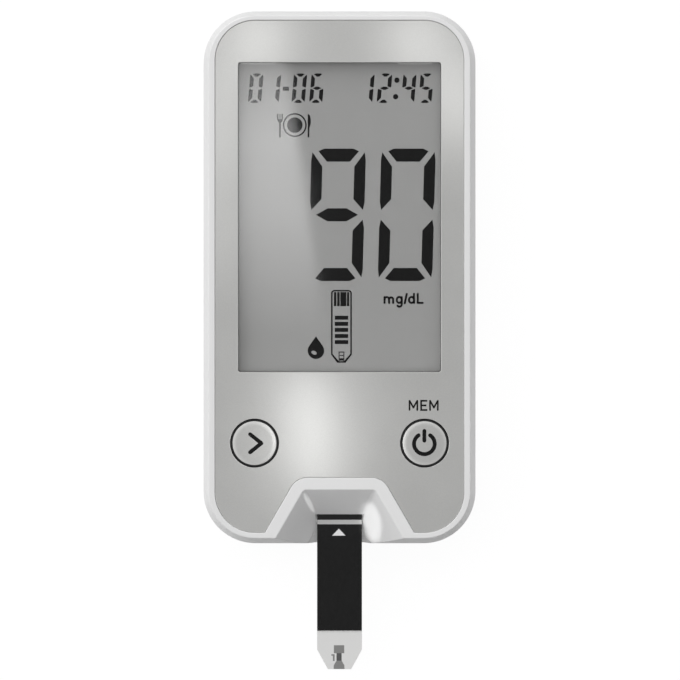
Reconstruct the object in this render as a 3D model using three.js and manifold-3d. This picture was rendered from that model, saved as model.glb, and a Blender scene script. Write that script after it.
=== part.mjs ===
// Blood glucose meter with a test strip in its port, lying on its back.
// +X is to the right of the display, +Y to its top, +Z out of it. Lengths are in millimetres.
// It is drawn about the middle of the case's back, and moved at the end to the middle of its footprint.
import * as THREE from "three";
import { mergeVertices } from "three/addons/utils/BufferGeometryUtils.js";
import Module from "manifold-3d";

const wasm = await Module();
wasm.setup();

// Case: two mouldings that meet at the parting plane
const shell = {
  width: 46,
  length: 90,
  height: 15,
  cornerRadius: 8.8,
  parting: 7.5, // height of the parting plane above the back
  wall: 1.6,
  floor: 1.8,
  deck: 1.2, // the wall under the face plate
  draft: 0.9, // how far the side leans in from the parting plane to the rim
  crown: 0.12, // how far the leaning side swells at half height
  rimBreak: 0.16,
  seam: 0.14, // V groove along the parting line
  backRound: 5, // width in plan of the rounded back edge
};
const lip = { height: 0.75, thick: 0.7, gap: 0.15 }; // the rear wall's lip inside the front wall
const overrun = 1; // how far a cutter runs past what it cuts
const arcSteps = 8; // facets in a quarter turn of a case corner
const roundSteps = 36; // facets round a boss, screw or key

// Face plate, and the display pane that shows through it
const plate = { thick: 0.8, sunk: 0.15, sideMargin: 2, topMargin: 1.7, bottomMargin: 1.9 };
const plateFit = { cornerRadius: 6.75, gap: 0.12 };
const pane = { sideMargin: 5.9, topMargin: 8.8, bottomMargin: 29, sunk: 0.15, cornerRadius: 0.4 };
const paneFit = { gap: 0.1, flange: 0.8, flangeThick: 0.5 };

// Strip port: a funnel of three leaning faces down to a slot, with a ridge round its mouth
const port = {
  mouthTop: 9.15, // from the case's lower end up to the mouth's upper edge
  mouthHalf: 6.07, // half the length of that edge
  lipRise: 4.9, // from the case's lower end up to the slot's upper lip
  ridge: 2.03,
  notchRadius: 3.25,
  mouthRadius: 0.55,
  sill: 6, // height at which the funnel ends under the slot
  wall: 1.5,
};
const sideLean = THREE.MathUtils.degToRad(60); // of the mouth's side edges, from the X axis
const slot = { width: 8.1, height: 1, top: 9.4, lead: 0.22 };

// Test strip, flat in the slot
const strip = { width: 7.58, outside: 21.27, inside: 8.53, base: 0.36, film: 0.15, lift: 0.25 };
const stripTip = { taper: 3.32, width: 3.94, bare: 6.53, contacts: 6.6 };

// Round keys in the face plate
const key = {
  holeRadius: 4.09,
  rimGap: 0.1,
  capRadius: 3.72,
  capThick: 0.6,
  sunk: 0.04,
  flangeRadius: 5.1,
  flangeThick: 0.7,
  postRadius: 1.4,
  travel: 0.3,
  side: 8.66, // from the case's side to each key
  rise: 17, // from the case's lower end up to the keys
  slip: 0.12,
  fit: 0.03,
};
const tact = { width: 6, plungerRadius: 1.65, slip: 0.15 };
const tactShares = { body: 0.66, plungerOut: 0.17, plungerIn: 0.18 }; // of the height under the key

// Circuit board and what stands on it
const board = { seat: 6.6, thick: 1, sideGap: 0.75, lowGap: 5.8, cutX: 8, cutY: 7 };
const lcd = { ledge: 3.2, glass: 0.7, gap: 0.35 };
const tray = { wall: 1, slip: 0.15, ledge: 1.4, bar: 1, cornerRadius: 0.6 };
const trayGap = { side: 0.8, end: 0.15, key: 1.25 };
const elastomer = { thick: 1.9, inset: 0.3, sideInset: 2 }; // inset from the edges of the front glass
const connector = { width: 12, rise: 8, back: 3, slip: 0.12 };
const connectorHeightShare = 0.39; // of the height between the strip and the deck
const finger = { count: 5, pitch: 1.3, width: 0.6, thick: 0.22, channel: 0.9, gap: 0.04, tail: 0.9 };
const chips = {
  processor: { x: -6, length: 10, width: 10 },
  amplifier: { x: 6, length: 5, width: 5 },
  crystal: { x: 8, length: 7, width: 2 },
  buzzer: { x: 4, radius: 6 },
};
const sensor = { gap: 2.6, length: 1.6, width: 0.8, height: 0.6 };
// Places up the display from its middle, as shares of half its length
const chipRiseShares = { processor: 0, amplifier: -0.57, crystal: 0, buzzer: 0.6 };
// Heights, as shares of the room between the board and the glass
const chipHeightShares = { processor: 0.4, amplifier: 0.29, crystal: 0.46, buzzer: 0.51 };

// Coin cells, their compartment and its door
const cell = { radius: 10, thick: 3.2, canRadius: 8.6, canThick: 0.6, lift: 0.35, gap: 0.8, edge: 0.4 };
const bay = { centre: 6, wall: 1.1, rim: 2.6, rimHeight: 3, cornerRadius: 1.2 };
const door = { overlap: 1.5, thick: 1.3, sunk: 0.25, gap: 0.15, cornerRadius: 1.6, pin: 0.45, pinLong: 0.8 };
const latch = { width: 6, length: 1.2, thick: 0.7, gap: 0.3 };
const scoop = { width: 15, depth: 1.05 };
const grip = { count: 4, pitch: 1.3, width: 0.6, depth: 0.3, length: 9, start: 2.6 };
const leaf = { width: 4, thick: 0.25, reach: 6.5, touch: 0.05 };

// Screws
const caseScrew = { head: 1.55, headThick: 1, shank: 0.65, length: 7.6, seat: 3, pilot: 0.7, point: 0.8 };
const boss = { radius: 2.2, well: 1.75, hole: 0.95, spare: 0.6 };
const bossInset = { upperSide: 7.8, upperEnd: 4.1, lowerSide: 5.8, lowerEnd: 6.6 }; // from the case's edges
const boardScrew = { head: 1.5, headThick: 0.9, shank: 0.65, length: 4.4, side: 5, rise: 3, point: 0.6 };
const post = { radius: 2, hole: 0.75, depth: 4 };

// Heights and places that follow from the sizes above
const plateTop = shell.height - plate.sunk;
const deckTop = plateTop - plate.thick;
const deckBottom = deckTop - shell.deck;
const boardTop = board.seat + board.thick;
const lowEnd = -shell.length / 2;
const highEnd = shell.length / 2;
const stripBottom = slot.top - slot.height + strip.lift;
const stripTop = stripBottom + strip.base + strip.film;
const stripEnd = lowEnd - strip.outside;
const keyY = lowEnd + key.rise;

// Solids: meshes in, meshes out
function solid(geometry) {
  const bare = new THREE.BufferGeometry();
  bare.setAttribute("position", geometry.getAttribute("position"));
  if (geometry.index) bare.setIndex(geometry.index);
  const merged = mergeVertices(bare, 1e-4);
  const vertProperties = new Float32Array(merged.attributes.position.array);
  const triVerts = new Uint32Array(merged.index.array);
  return new wasm.Manifold(new wasm.Mesh({ numProp: 3, vertProperties, triVerts }));
}

function geometryOf(manifold) {
  const mesh = manifold.getMesh();
  const positions = new Float32Array(mesh.numVert * 3);
  for (let i = 0; i < mesh.numVert; i++) {
    positions.set(mesh.vertProperties.subarray(i * mesh.numProp, i * mesh.numProp + 3), i * 3);
  }
  const geometry = new THREE.BufferGeometry();
  geometry.setAttribute("position", new THREE.BufferAttribute(positions, 3));
  geometry.setIndex(new THREE.BufferAttribute(mesh.triVerts, 1));
  const flat = geometry.toNonIndexed();
  flat.computeVertexNormals();
  return flat;
}

const join = (first, ...others) => others.reduce((whole, piece) => whole.add(piece), first);
const cut = (first, ...others) => others.reduce((whole, piece) => whole.subtract(piece), first);

// A closed skin through rings of equally many points, each ring anticlockwise seen from the last one.
function loft(rings) {
  const count = rings[0].length;
  const positions = rings.flat(2);
  const index = [];
  for (let r = 0; r + 1 < rings.length; r++) {
    for (let i = 0; i < count; i++) {
      const next = (i + 1) % count;
      const low = r * count;
      const high = low + count;
      index.push(low + i, low + next, high + next, low + i, high + next, high + i);
    }
  }
  const last = (rings.length - 1) * count;
  for (let i = 1; i + 1 < count; i++) {
    index.push(0, i + 1, i, last, last + i, last + i + 1);
  }
  const geometry = new THREE.BufferGeometry();
  geometry.setAttribute("position", new THREE.Float32BufferAttribute(positions, 3));
  geometry.setIndex(index);
  return solid(geometry);
}

const atHeight = (outline, z) => outline.map(([x, y]) => [x, y, z]);

// A straight prism of an outline, which may bend inwards, between two heights.
function prism(outline, bottom, top) {
  const shape = new THREE.Shape(outline.map(([x, y]) => new THREE.Vector2(x, y)));
  const geometry = new THREE.ExtrudeGeometry(shape, { depth: top - bottom, bevelEnabled: false });
  return solid(geometry.translate(0, 0, bottom));
}

// A prism that runs along X, of an outline drawn in Y and Z and centred on x.
function bar(outline, width, x) {
  const shape = new THREE.Shape(outline.map(([y, z]) => new THREE.Vector2(y, z)));
  const geometry = new THREE.ExtrudeGeometry(shape, { depth: width, bevelEnabled: false });
  geometry.rotateY(Math.PI / 2).rotateX(Math.PI / 2);
  return solid(geometry.translate(x - width / 2, 0, 0));
}

const area = (left, right, low, high) => ({ left, right, low, high });
const grown = (a, by) => area(a.left - by, a.right + by, a.low - by, a.high + by);

function roundedOutline(a, radius, steps = arcSteps) {
  const corners = [
    [a.right - radius, a.high - radius],
    [a.left + radius, a.high - radius],
    [a.left + radius, a.low + radius],
    [a.right - radius, a.low + radius],
  ];
  return corners.flatMap(([x, y], corner) =>
    Array.from({ length: steps + 1 }, (_, i) => {
      const angle = (corner + i / steps) * (Math.PI / 2);
      return [x + radius * Math.cos(angle), y + radius * Math.sin(angle)];
    }),
  );
}

const squareOutline = (a) => [
  [a.right, a.low],
  [a.right, a.high],
  [a.left, a.high],
  [a.left, a.low],
];

const block = (a, bottom, top) => prism(squareOutline(a), bottom, top);
const roundedBlock = (a, radius, bottom, top) => prism(roundedOutline(a, radius), bottom, top);

// A round bar that stands along Z.
function rod(x, y, radius, bottom, top) {
  const geometry = new THREE.CylinderGeometry(radius, radius, top - bottom, roundSteps);
  return solid(geometry.rotateX(Math.PI / 2).translate(x, y, (bottom + top) / 2));
}

// A strip of bent sheet metal: a path in Y and Z with an even thickness, and a width along X.
function bentSheet(path, thick, width, x) {
  const points = path.map(([y, z]) => new THREE.Vector2(y, z));
  const sides = points.map((point, i) => {
    const back = i > 0 ? point.clone().sub(points[i - 1]).normalize() : null;
    const ahead = i + 1 < points.length ? points[i + 1].clone().sub(point).normalize() : null;
    const before = back ?? ahead;
    const after = ahead ?? back;
    const along = before.clone().add(after).normalize();
    const across = new THREE.Vector2(-along.y, along.x);
    const mitre = thick / 2 / Math.max(across.dot(new THREE.Vector2(-before.y, before.x)), 0.5);
    return [point.clone().addScaledVector(across, mitre), point.clone().addScaledVector(across, -mitre)];
  });
  const outline = [...sides.map((s) => s[1]), ...sides.map((s) => s[0]).reverse()];
  return bar(outline.map((p) => [p.x, p.y]), width, x);
}

// Case outlines
const caseArea = area(-shell.width / 2, shell.width / 2, lowEnd, highEnd);
const caseRing = (inset, z) =>
  atHeight(roundedOutline(grown(caseArea, -inset), shell.cornerRadius - inset), z);
const plateArea = area(
  caseArea.left + plate.sideMargin,
  caseArea.right - plate.sideMargin,
  lowEnd + plate.bottomMargin,
  highEnd - plate.topMargin,
);
const paneArea = area(
  caseArea.left + pane.sideMargin,
  caseArea.right - pane.sideMargin,
  lowEnd + pane.bottomMargin,
  highEnd - pane.topMargin,
);

// The mouth of the port at a height, its edges moved out by grow
const funnelDepth = shell.height - slot.top;
const upperFall = port.mouthTop - port.lipRise;
const upperRun = upperFall / funnelDepth;
const sideFall = (port.mouthHalf + upperFall / Math.tan(sideLean) - slot.width / 2) * Math.sin(sideLean);
const sideRun = sideFall / funnelDepth;

function mouthOutline(z, grow, radius, steps) {
  const depth = shell.height - z;
  const fall = depth * upperRun;
  const topY = lowEnd + port.mouthTop - fall + grow;
  const topHalf =
    port.mouthHalf +
    fall / Math.tan(sideLean) -
    (depth * sideRun) / Math.sin(sideLean) +
    grow * Math.tan(sideLean / 2);
  const bottomY = lowEnd - overrun;
  const bottomHalf = topHalf + (topY - bottomY) / Math.tan(sideLean);
  const centreX = topHalf - radius * Math.tan(sideLean / 2);
  const arc = Array.from({ length: steps + 1 }, (_, i) => {
    const angle = Math.PI / 2 - sideLean * (1 - i / steps);
    return [centreX + radius * Math.cos(angle), topY - radius + radius * Math.sin(angle)];
  });
  const mirrored = arc.map(([x, y]) => [-x, y]).reverse();
  return [[bottomHalf, bottomY], ...arc, ...mirrored, [-bottomHalf, bottomY]];
}

const mouthSteps = 1; // the funnel's inner corners are flat chamfers
const notchSteps = 6;
const notchOutline = (grow) =>
  mouthOutline(shell.height, port.ridge + grow, port.notchRadius + grow, notchSteps);
const mouthRing = (z, grow) =>
  atHeight(mouthOutline(z, grow, port.mouthRadius + grow, mouthSteps), z);
const funnelCutter = loft([port.sill, shell.height + overrun].map((z) => mouthRing(z, 0)));

// The moulded wall behind the funnel's faces, parallel to them
const funnelWall = (bottom, top) => loft([bottom, top].map((z) => mouthRing(z, port.wall)));

// Screw places
const bossPlaces = [
  [caseArea.left + bossInset.upperSide, highEnd - bossInset.upperEnd],
  [caseArea.right - bossInset.upperSide, highEnd - bossInset.upperEnd],
  [caseArea.left + bossInset.lowerSide, lowEnd + bossInset.lowerEnd],
  [caseArea.right - bossInset.lowerSide, lowEnd + bossInset.lowerEnd],
];
const connectorFront = lowEnd + connector.rise;
const stripInnerEnd = lowEnd + port.lipRise + strip.inside;
const connectorBack = stripInnerEnd + connector.back;
const postPlaces = [-boardScrew.side, boardScrew.side].map((x) => [x, connectorBack + boardScrew.rise]);
const keyPlaces = [
  ["scroll", caseArea.left + key.side],
  ["power", caseArea.right - key.side],
];

function frontHousing() {
  const middle = (shell.parting + shell.height) / 2;
  const outer = loft([
    caseRing(shell.seam, shell.parting),
    caseRing(0, shell.parting + shell.seam),
    caseRing(shell.draft / 2 - shell.crown, middle),
    caseRing(shell.draft, shell.height - shell.rimBreak),
    caseRing(shell.draft + shell.rimBreak, shell.height),
  ]);
  const cavity = loft([
    caseRing(shell.wall, shell.parting - overrun),
    caseRing(shell.wall, shell.parting),
    caseRing(shell.wall + shell.draft / 2, deckBottom),
  ]);
  const rebate = loft(
    [shell.parting - overrun, shell.parting + lip.height + lip.gap].map((z) =>
      caseRing(shell.wall - lip.thick - lip.gap, z),
    ),
  );
  const bosses = bossPlaces.map(([x, y]) => rod(x, y, boss.radius, shell.parting, deckTop));
  const pilots = bossPlaces.map(([x, y]) =>
    rod(x, y, caseScrew.pilot, shell.parting - overrun, caseScrew.seat + caseScrew.length + boss.spare),
  );
  const hollow = cut(outer, cavity, rebate);
  const backed = join(hollow, funnelWall(shell.parting, deckTop).intersect(outer), ...bosses);
  const pocket = cut(
    roundedBlock(
      grown(plateArea, plateFit.gap),
      plateFit.cornerRadius + plateFit.gap,
      deckTop,
      shell.height + overrun,
    ),
    prism(notchOutline(-plateFit.gap), deckTop - overrun, shell.height + 2 * overrun),
  );
  const paneSeat = roundedBlock(
    grown(paneArea, paneFit.flange + paneFit.gap),
    pane.cornerRadius + paneFit.flange,
    deckTop - paneFit.flangeThick,
    deckTop + overrun,
  );
  const paneHole = roundedBlock(paneArea, pane.cornerRadius, deckBottom - overrun, deckTop + overrun);
  const keyHoles = keyPlaces.map(([, x]) =>
    rod(x, keyY, key.holeRadius + key.slip, deckBottom - overrun, deckTop + overrun),
  );
  return cut(backed, pocket, paneSeat, paneHole, ...keyHoles, ...pilots, funnelCutter, slotCutter());
}

// The slot, with a small flare where it opens into the funnel
function slotCutter() {
  const slotArea = area(-slot.width / 2, slot.width / 2, lowEnd - overrun, connectorFront);
  const mouth = lowEnd + port.lipRise;
  const ringAt = (y, by) => [
    [slot.width / 2 + by, y, slot.top - slot.height - by],
    [-slot.width / 2 - by, y, slot.top - slot.height - by],
    [-slot.width / 2 - by, y, slot.top + by],
    [slot.width / 2 + by, y, slot.top + by],
  ];
  const flare = loft([ringAt(mouth - 2 * slot.lead, 3 * slot.lead), ringAt(mouth + slot.lead, 0)]);
  return join(block(slotArea, slot.top - slot.height, slot.top), flare);
}

function rearHousing() {
  const steps = 6;
  const insetAt = (z) => {
    const down = (shell.parting - z) / shell.parting;
    return shell.backRound * (1 - Math.sqrt(Math.max(1 - down * down, 0)));
  };
  const heights = Array.from({ length: steps + 1 }, (_, i) => {
    const angle = (Math.PI / 2) * (1 - i / steps);
    return shell.parting * (1 - Math.sin(angle));
  });
  const outer = loft([
    ...heights.slice(0, -1).map((z) => caseRing(insetAt(z), z)),
    caseRing(0, shell.parting - shell.seam),
    caseRing(shell.seam, shell.parting),
  ]);
  const cavityHeights = [shell.floor, ...heights.slice(0, -1).filter((z) => z > shell.floor)];
  const cavity = loft([
    ...cavityHeights.map((z) => caseRing(insetAt(z) + shell.wall, z)),
    caseRing(shell.wall, shell.parting + overrun),
  ]);
  const bayInner = bayArea();
  const rim = roundedBlock(
    grown(bayInner, bay.rim),
    bay.cornerRadius + bay.rim,
    shell.floor / 2,
    bay.rimHeight,
  );
  const walls = roundedBlock(
    grown(bayInner, bay.wall),
    bay.cornerRadius + bay.wall,
    shell.floor,
    board.seat,
  );
  const bosses = bossPlaces.map(([x, y]) => rod(x, y, boss.radius, 0, shell.parting));
  const posts = postPlaces.map(([x, y]) => rod(x, y, post.radius, shell.floor / 2, board.seat));
  const lipTop = shell.parting + lip.height;
  const lipOutside = [shell.parting - overrun, lipTop].map((z) => caseRing(shell.wall - lip.thick, z));
  const lipInside = [shell.parting - 2 * overrun, lipTop + overrun].map((z) => caseRing(shell.wall, z));
  const lipRing = cut(
    loft(lipOutside),
    loft(lipInside),
    block(
      area(-lipGapHalf(), lipGapHalf(), lowEnd, lowEnd + shell.cornerRadius / 2),
      shell.parting,
      lipTop + overrun,
    ),
  );
  const body = join(
    cut(outer, cavity),
    rim,
    walls,
    ...bosses.map((b) => b.intersect(outer)),
    ...posts,
    lipRing,
    funnelWall(port.sill - port.wall, shell.parting).intersect(outer),
  );
  const doorCut = doorPocket();
  const bayHole = roundedBlock(bayInner, bay.cornerRadius, -overrun, board.seat + overrun);
  const wells = bossPlaces.flatMap(([x, y]) => [
    rod(x, y, boss.well, -overrun, caseScrew.seat),
    rod(x, y, boss.hole, 0, shell.parting + overrun),
  ]);
  const postHoles = postPlaces.map(([x, y]) =>
    rod(x, y, post.hole, board.seat - post.depth, board.seat + overrun),
  );
  return cut(body, bayHole, doorCut, ...wells, ...postHoles, funnelCutter, slotCutter(), fingerScoop());
}

// Half the length of the lower wall that has no lip, because the funnel stands there
function lipGapHalf() {
  return port.mouthHalf + port.mouthTop / Math.tan(sideLean) + port.ridge;
}

function bayArea() {
  const halfLong = cell.radius * 2 + cell.gap / 2 + cell.edge;
  const halfWide = cell.radius + cell.edge;
  return area(-halfWide, halfWide, bay.centre - halfLong, bay.centre + halfLong);
}

const doorArea = () => grown(bayArea(), door.overlap);
const doorTop = door.sunk + door.thick;
const hinge = { y: doorArea().high - door.thick / 2, z: door.sunk + door.thick / 2 };

function hingeRod(radius, halfLong) {
  const geometry = new THREE.CylinderGeometry(radius, radius, halfLong * 2, roundSteps / 2);
  return solid(geometry.rotateZ(Math.PI / 2).translate(0, hinge.y, hinge.z));
}

function doorPocket() {
  const a = grown(doorArea(), door.gap);
  const pinReach = a.right + door.pinLong;
  const tab = area(
    -latch.width / 2 - latch.gap,
    latch.width / 2 + latch.gap,
    a.low - latch.length - latch.gap,
    a.low + overrun,
  );
  return join(
    roundedBlock(a, door.cornerRadius, -overrun, doorTop + door.gap),
    block(area(a.left, a.right, hinge.y - 2 * door.cornerRadius, a.high), -overrun, doorTop + door.gap),
    block(tab, -overrun, doorTop + door.gap),
    hingeRod(door.pin + door.gap, pinReach),
  );
}

function fingerScoop() {
  const halfWidth = scoop.width / 2;
  const radius = (halfWidth * halfWidth) / (2 * scoop.depth) + scoop.depth / 2;
  const y = doorArea().low - latch.length;
  const reach = halfWidth + overrun;
  const dome = Array.from({ length: arcSteps + 1 }, (_, i) => {
    const r = reach * (1 - i / arcSteps);
    return new THREE.Vector2(r, scoop.depth - radius + Math.sqrt(radius * radius - r * r));
  });
  const profile = [new THREE.Vector2(0, -overrun), new THREE.Vector2(reach, -overrun), ...dome];
  const geometry = new THREE.LatheGeometry(profile, roundSteps).rotateX(Math.PI / 2);
  const bowl = solid(geometry.translate(0, y, 0));
  return bowl.intersect(block(area(-reach, reach, y - reach, y + overrun), -overrun, shell.floor));
}

function batteryDoor() {
  const a = doorArea();
  const plateRect = area(a.left, a.right, a.low, hinge.y);
  const slab = prism(
    [
      [plateRect.right, plateRect.high],
      [plateRect.left, plateRect.high],
      ...roundedOutline(plateRect, door.cornerRadius).slice(2 * (arcSteps + 1)),
    ],
    door.sunk,
    doorTop,
  );
  const knuckle = hingeRod(door.thick / 2, a.right);
  const pins = hingeRod(door.pin, a.right + door.pinLong);
  const tongue = block(
    area(-latch.width / 2, latch.width / 2, a.low - latch.length, a.low + latch.length),
    doorTop - latch.thick,
    doorTop,
  );
  const grooves = Array.from({ length: grip.count }, (_, i) => {
    const y = a.low + grip.start + i * grip.pitch;
    return block(
      area(-grip.length / 2, grip.length / 2, y, y + grip.width),
      door.sunk - overrun,
      door.sunk + grip.depth,
    );
  });
  return cut(join(slab, knuckle, pins, tongue), ...grooves);
}

function facePlate() {
  const slab = roundedBlock(plateArea, plateFit.cornerRadius, deckTop, plateTop);
  const notch = prism(notchOutline(0), deckTop - overrun, plateTop + overrun);
  const opening = roundedBlock(paneArea, pane.cornerRadius, deckTop - overrun, plateTop + overrun);
  const holes = keyPlaces.map(([, x]) =>
    rod(x, keyY, key.holeRadius, deckTop - overrun, plateTop + overrun),
  );
  return cut(slab, notch, opening, ...holes);
}

function displayPane() {
  const upper = roundedBlock(
    grown(paneArea, -paneFit.gap),
    pane.cornerRadius,
    deckTop - paneFit.flangeThick,
    plateTop - pane.sunk,
  );
  const flange = roundedBlock(
    grown(paneArea, paneFit.flange),
    pane.cornerRadius + paneFit.flange,
    deckTop - paneFit.flangeThick,
    deckTop,
  );
  return join(upper, flange);
}

// Display cell: the front glass is longer, and its contact ledge hangs over the elastomer
const lcdTop = deckBottom - lcd.gap;
const lcdMiddle = lcdTop - lcd.glass;
const lcdBottom = lcdMiddle - lcd.glass;
const trayHalf = shell.width / 2 - shell.wall - shell.draft / 2 - trayGap.side;
const trayHigh = highEnd - bossInset.upperEnd - boss.radius - trayGap.end;
const trayArea = area(-trayHalf, trayHalf, keyY + key.flangeRadius + trayGap.key, trayHigh);
const frontGlassArea = grown(trayArea, -tray.wall - tray.slip);
const rearGlassArea = { ...frontGlassArea, low: frontGlassArea.low + lcd.ledge };

function displayTray() {
  const seat = grown(frontGlassArea, tray.slip);
  const outer = roundedBlock(trayArea, tray.cornerRadius, boardTop, lcdTop);
  const glassPocket = block(
    area(seat.left, seat.right, rearGlassArea.low - tray.slip, seat.high),
    lcdBottom,
    lcdTop + overrun,
  );
  const ledgePocket = block(seat, lcdMiddle, lcdTop + overrun);
  const barHigh = rearGlassArea.low + tray.bar;
  const well = block(
    area(seat.left + tray.ledge, seat.right - tray.ledge, barHigh, seat.high - tray.ledge),
    boardTop - overrun,
    lcdTop,
  );
  const groove = block(grown(elastomerArea(), tray.slip), boardTop - overrun, lcdTop);
  return cut(outer, glassPocket, ledgePocket, well, groove);
}

function elastomerArea() {
  const { left, right } = grown(frontGlassArea, -elastomer.sideInset);
  const low = frontGlassArea.low + elastomer.inset;
  return area(left, right, low, low + elastomer.thick);
}

function mainBoard() {
  const half = shell.width / 2 - shell.wall - board.sideGap;
  const low = lowEnd + board.lowGap;
  const outline = [
    [half, trayHigh],
    [-half, trayHigh],
    [-half, low + board.cutY],
    [-half + board.cutX, low],
    [half - board.cutX, low],
    [half, low + board.cutY],
  ];
  const holes = postPlaces.map(([x, y]) =>
    rod(x, y, post.hole, board.seat - overrun, boardTop + overrun),
  );
  return cut(prism(outline, board.seat, boardTop), ...holes);
}

const chipRoom = lcdBottom - boardTop;
const chipMiddle = (name) =>
  (frontGlassArea.low + frontGlassArea.high) / 2 +
  (chipRiseShares[name] * (frontGlassArea.high - frontGlassArea.low)) / 2;

function chipBlock(name) {
  const { x, length, width } = chips[name];
  const y = chipMiddle(name);
  const chipArea = area(x - length / 2, x + length / 2, y - width / 2, y + width / 2);
  return block(chipArea, boardTop, boardTop + chipHeightShares[name] * chipRoom);
}

function buzzerCan() {
  const { x, radius } = chips.buzzer;
  return rod(x, chipMiddle("buzzer"), radius, boardTop, boardTop + chipHeightShares.buzzer * chipRoom);
}

function temperatureSensor() {
  const x = connector.width / 2 + sensor.gap;
  const y = connectorFront + sensor.gap;
  const sensorArea = area(x, x + sensor.length, y, y + sensor.width);
  return block(sensorArea, boardTop, boardTop + sensor.height);
}

const fingerPlaces = Array.from(
  { length: finger.count },
  (_, i) => (i - (finger.count - 1) / 2) * finger.pitch,
);
const connectorTop = stripTop + connectorHeightShare * (deckBottom - stripTop);

function stripConnector() {
  const outer = block(
    area(-connector.width / 2, connector.width / 2, connectorFront, connectorBack),
    boardTop,
    connectorTop,
  );
  const tunnel = block(
    area(
      -strip.width / 2 - connector.slip,
      strip.width / 2 + connector.slip,
      connectorFront - overrun,
      stripInnerEnd + connector.slip,
    ),
    stripBottom - connector.slip,
    stripTop + connector.slip,
  );
  const channels = fingerPlaces.map((x) =>
    block(
      area(
        x - finger.channel / 2,
        x + finger.channel / 2,
        connectorFront + finger.tail,
        connectorBack + overrun,
      ),
      stripBottom,
      connectorTop + overrun,
    ),
  );
  return cut(outer, tunnel, ...channels);
}

// A contact spring: soldered tail behind the connector, arm forward, a bend down on to the strip
function contactFinger(x) {
  const half = finger.thick / 2;
  const touch = stripBottom + strip.base + finger.gap + half;
  const arm = connectorTop - half - finger.gap;
  const tip = connectorFront + 2 * finger.tail;
  const path = [
    [tip, touch + finger.tail],
    [tip + finger.tail, touch],
    [tip + 3 * finger.tail, arm],
    [connectorBack + finger.tail, arm],
    [connectorBack + finger.tail, boardTop + half],
    [connectorBack + 2.5 * finger.tail, boardTop + half],
  ];
  return bentSheet(path, finger.thick, finger.width, x);
}

// Test strip: white base with a tapered sampling end, and a dark cover film
function stripOutline(high) {
  const half = strip.width / 2;
  const tip = stripTip.width / 2;
  return [
    [tip, stripEnd],
    [half, stripEnd + stripTip.taper],
    [half, high],
    [-half, high],
    [-half, stripEnd + stripTip.taper],
    [-tip, stripEnd],
  ];
}

const stripBase = () => prism(stripOutline(stripInnerEnd), stripBottom, stripBottom + strip.base);
const stripFilm = () =>
  block(
    area(-strip.width / 2, strip.width / 2, stripEnd + stripTip.bare, stripInnerEnd - stripTip.contacts),
    stripBottom + strip.base,
    stripTop,
  );

// Key: a metallic cap in a dark carrier, whose flange hooks under the deck
const carrierRadius = key.holeRadius - key.rimGap;
const capTop = plateTop - key.sunk;
const flangeTop = deckBottom - key.fit;
const tactRoom = flangeTop - key.flangeThick - boardTop;
const tactTop = boardTop + tactShares.body * tactRoom;
const plungerTop = tactTop + tactShares.plungerOut * tactRoom;
const plungerBottom = tactTop - tactShares.plungerIn * tactRoom;

function keyCap(x) {
  return rod(x, keyY, key.capRadius, capTop - key.capThick, capTop);
}

function keyCarrier(x) {
  const flangeBottom = flangeTop - key.flangeThick;
  const body = join(
    rod(x, keyY, carrierRadius, flangeBottom, capTop),
    rod(x, keyY, key.flangeRadius, flangeBottom, flangeTop),
    rod(x, keyY, key.postRadius, plungerTop, flangeBottom + key.flangeThick / 2),
  );
  return cut(body, rod(x, keyY, key.capRadius + key.fit, capTop - key.capThick, capTop + overrun));
}

function switchBody(x) {
  const half = tact.width / 2;
  const base = block(area(x - half, x + half, keyY - half, keyY + half), boardTop, tactTop);
  const bore = rod(
    x,
    keyY,
    tact.plungerRadius + tact.slip,
    plungerBottom - key.travel - tact.slip,
    tactTop + overrun,
  );
  return cut(base, bore);
}

function switchPlunger(x) {
  return rod(x, keyY, tact.plungerRadius, plungerBottom, plungerTop);
}

// Coin cell: a can with a smaller cap on its inner side, standing off the door
const cellBottom = doorTop + cell.lift;
const cellPlaces = [
  ["upper", bay.centre + cell.radius + cell.gap / 2],
  ["lower", bay.centre - cell.radius - cell.gap / 2],
];

function coinCell(y) {
  const rim = cell.thick - cell.canThick;
  const profile = [
    [0, 0],
    [cell.radius - cell.canThick / 2, 0],
    [cell.radius, cell.canThick / 2],
    [cell.radius, rim - cell.canThick / 2],
    [cell.radius - cell.canThick / 2, rim],
    [cell.canRadius, rim],
    [cell.canRadius - cell.canThick / 2, cell.thick],
    [0, cell.thick],
  ].map(([r, z]) => new THREE.Vector2(r, z));
  const geometry = new THREE.LatheGeometry(profile, roundSteps);
  return solid(geometry.rotateX(Math.PI / 2).translate(0, y, cellBottom));
}

// A leaf under the board that presses on a cell's cap
function cellLeaf(y, direction) {
  const half = leaf.thick / 2;
  const low = cellBottom + cell.thick + leaf.touch + half;
  const path = [
    [y - direction * leaf.reach, board.seat - half],
    [y - direction * (leaf.reach / 2), board.seat - half],
    [y, low],
    [y + direction * (leaf.reach / 4), low + leaf.thick],
  ];
  return bentSheet(path, leaf.thick, leaf.width, 0);
}

// A clip beside a cell's rim at the end of the bay, with its foot under the board
function cellClip(end, direction) {
  const half = leaf.thick / 2;
  const y = end - direction * (half + leaf.touch);
  const path = [
    [y, cellBottom + cell.canThick],
    [y, board.seat - half],
    [y - direction * (leaf.reach / 3), board.seat - half],
  ];
  return bentSheet(path, leaf.thick, leaf.width, 0);
}

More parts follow.
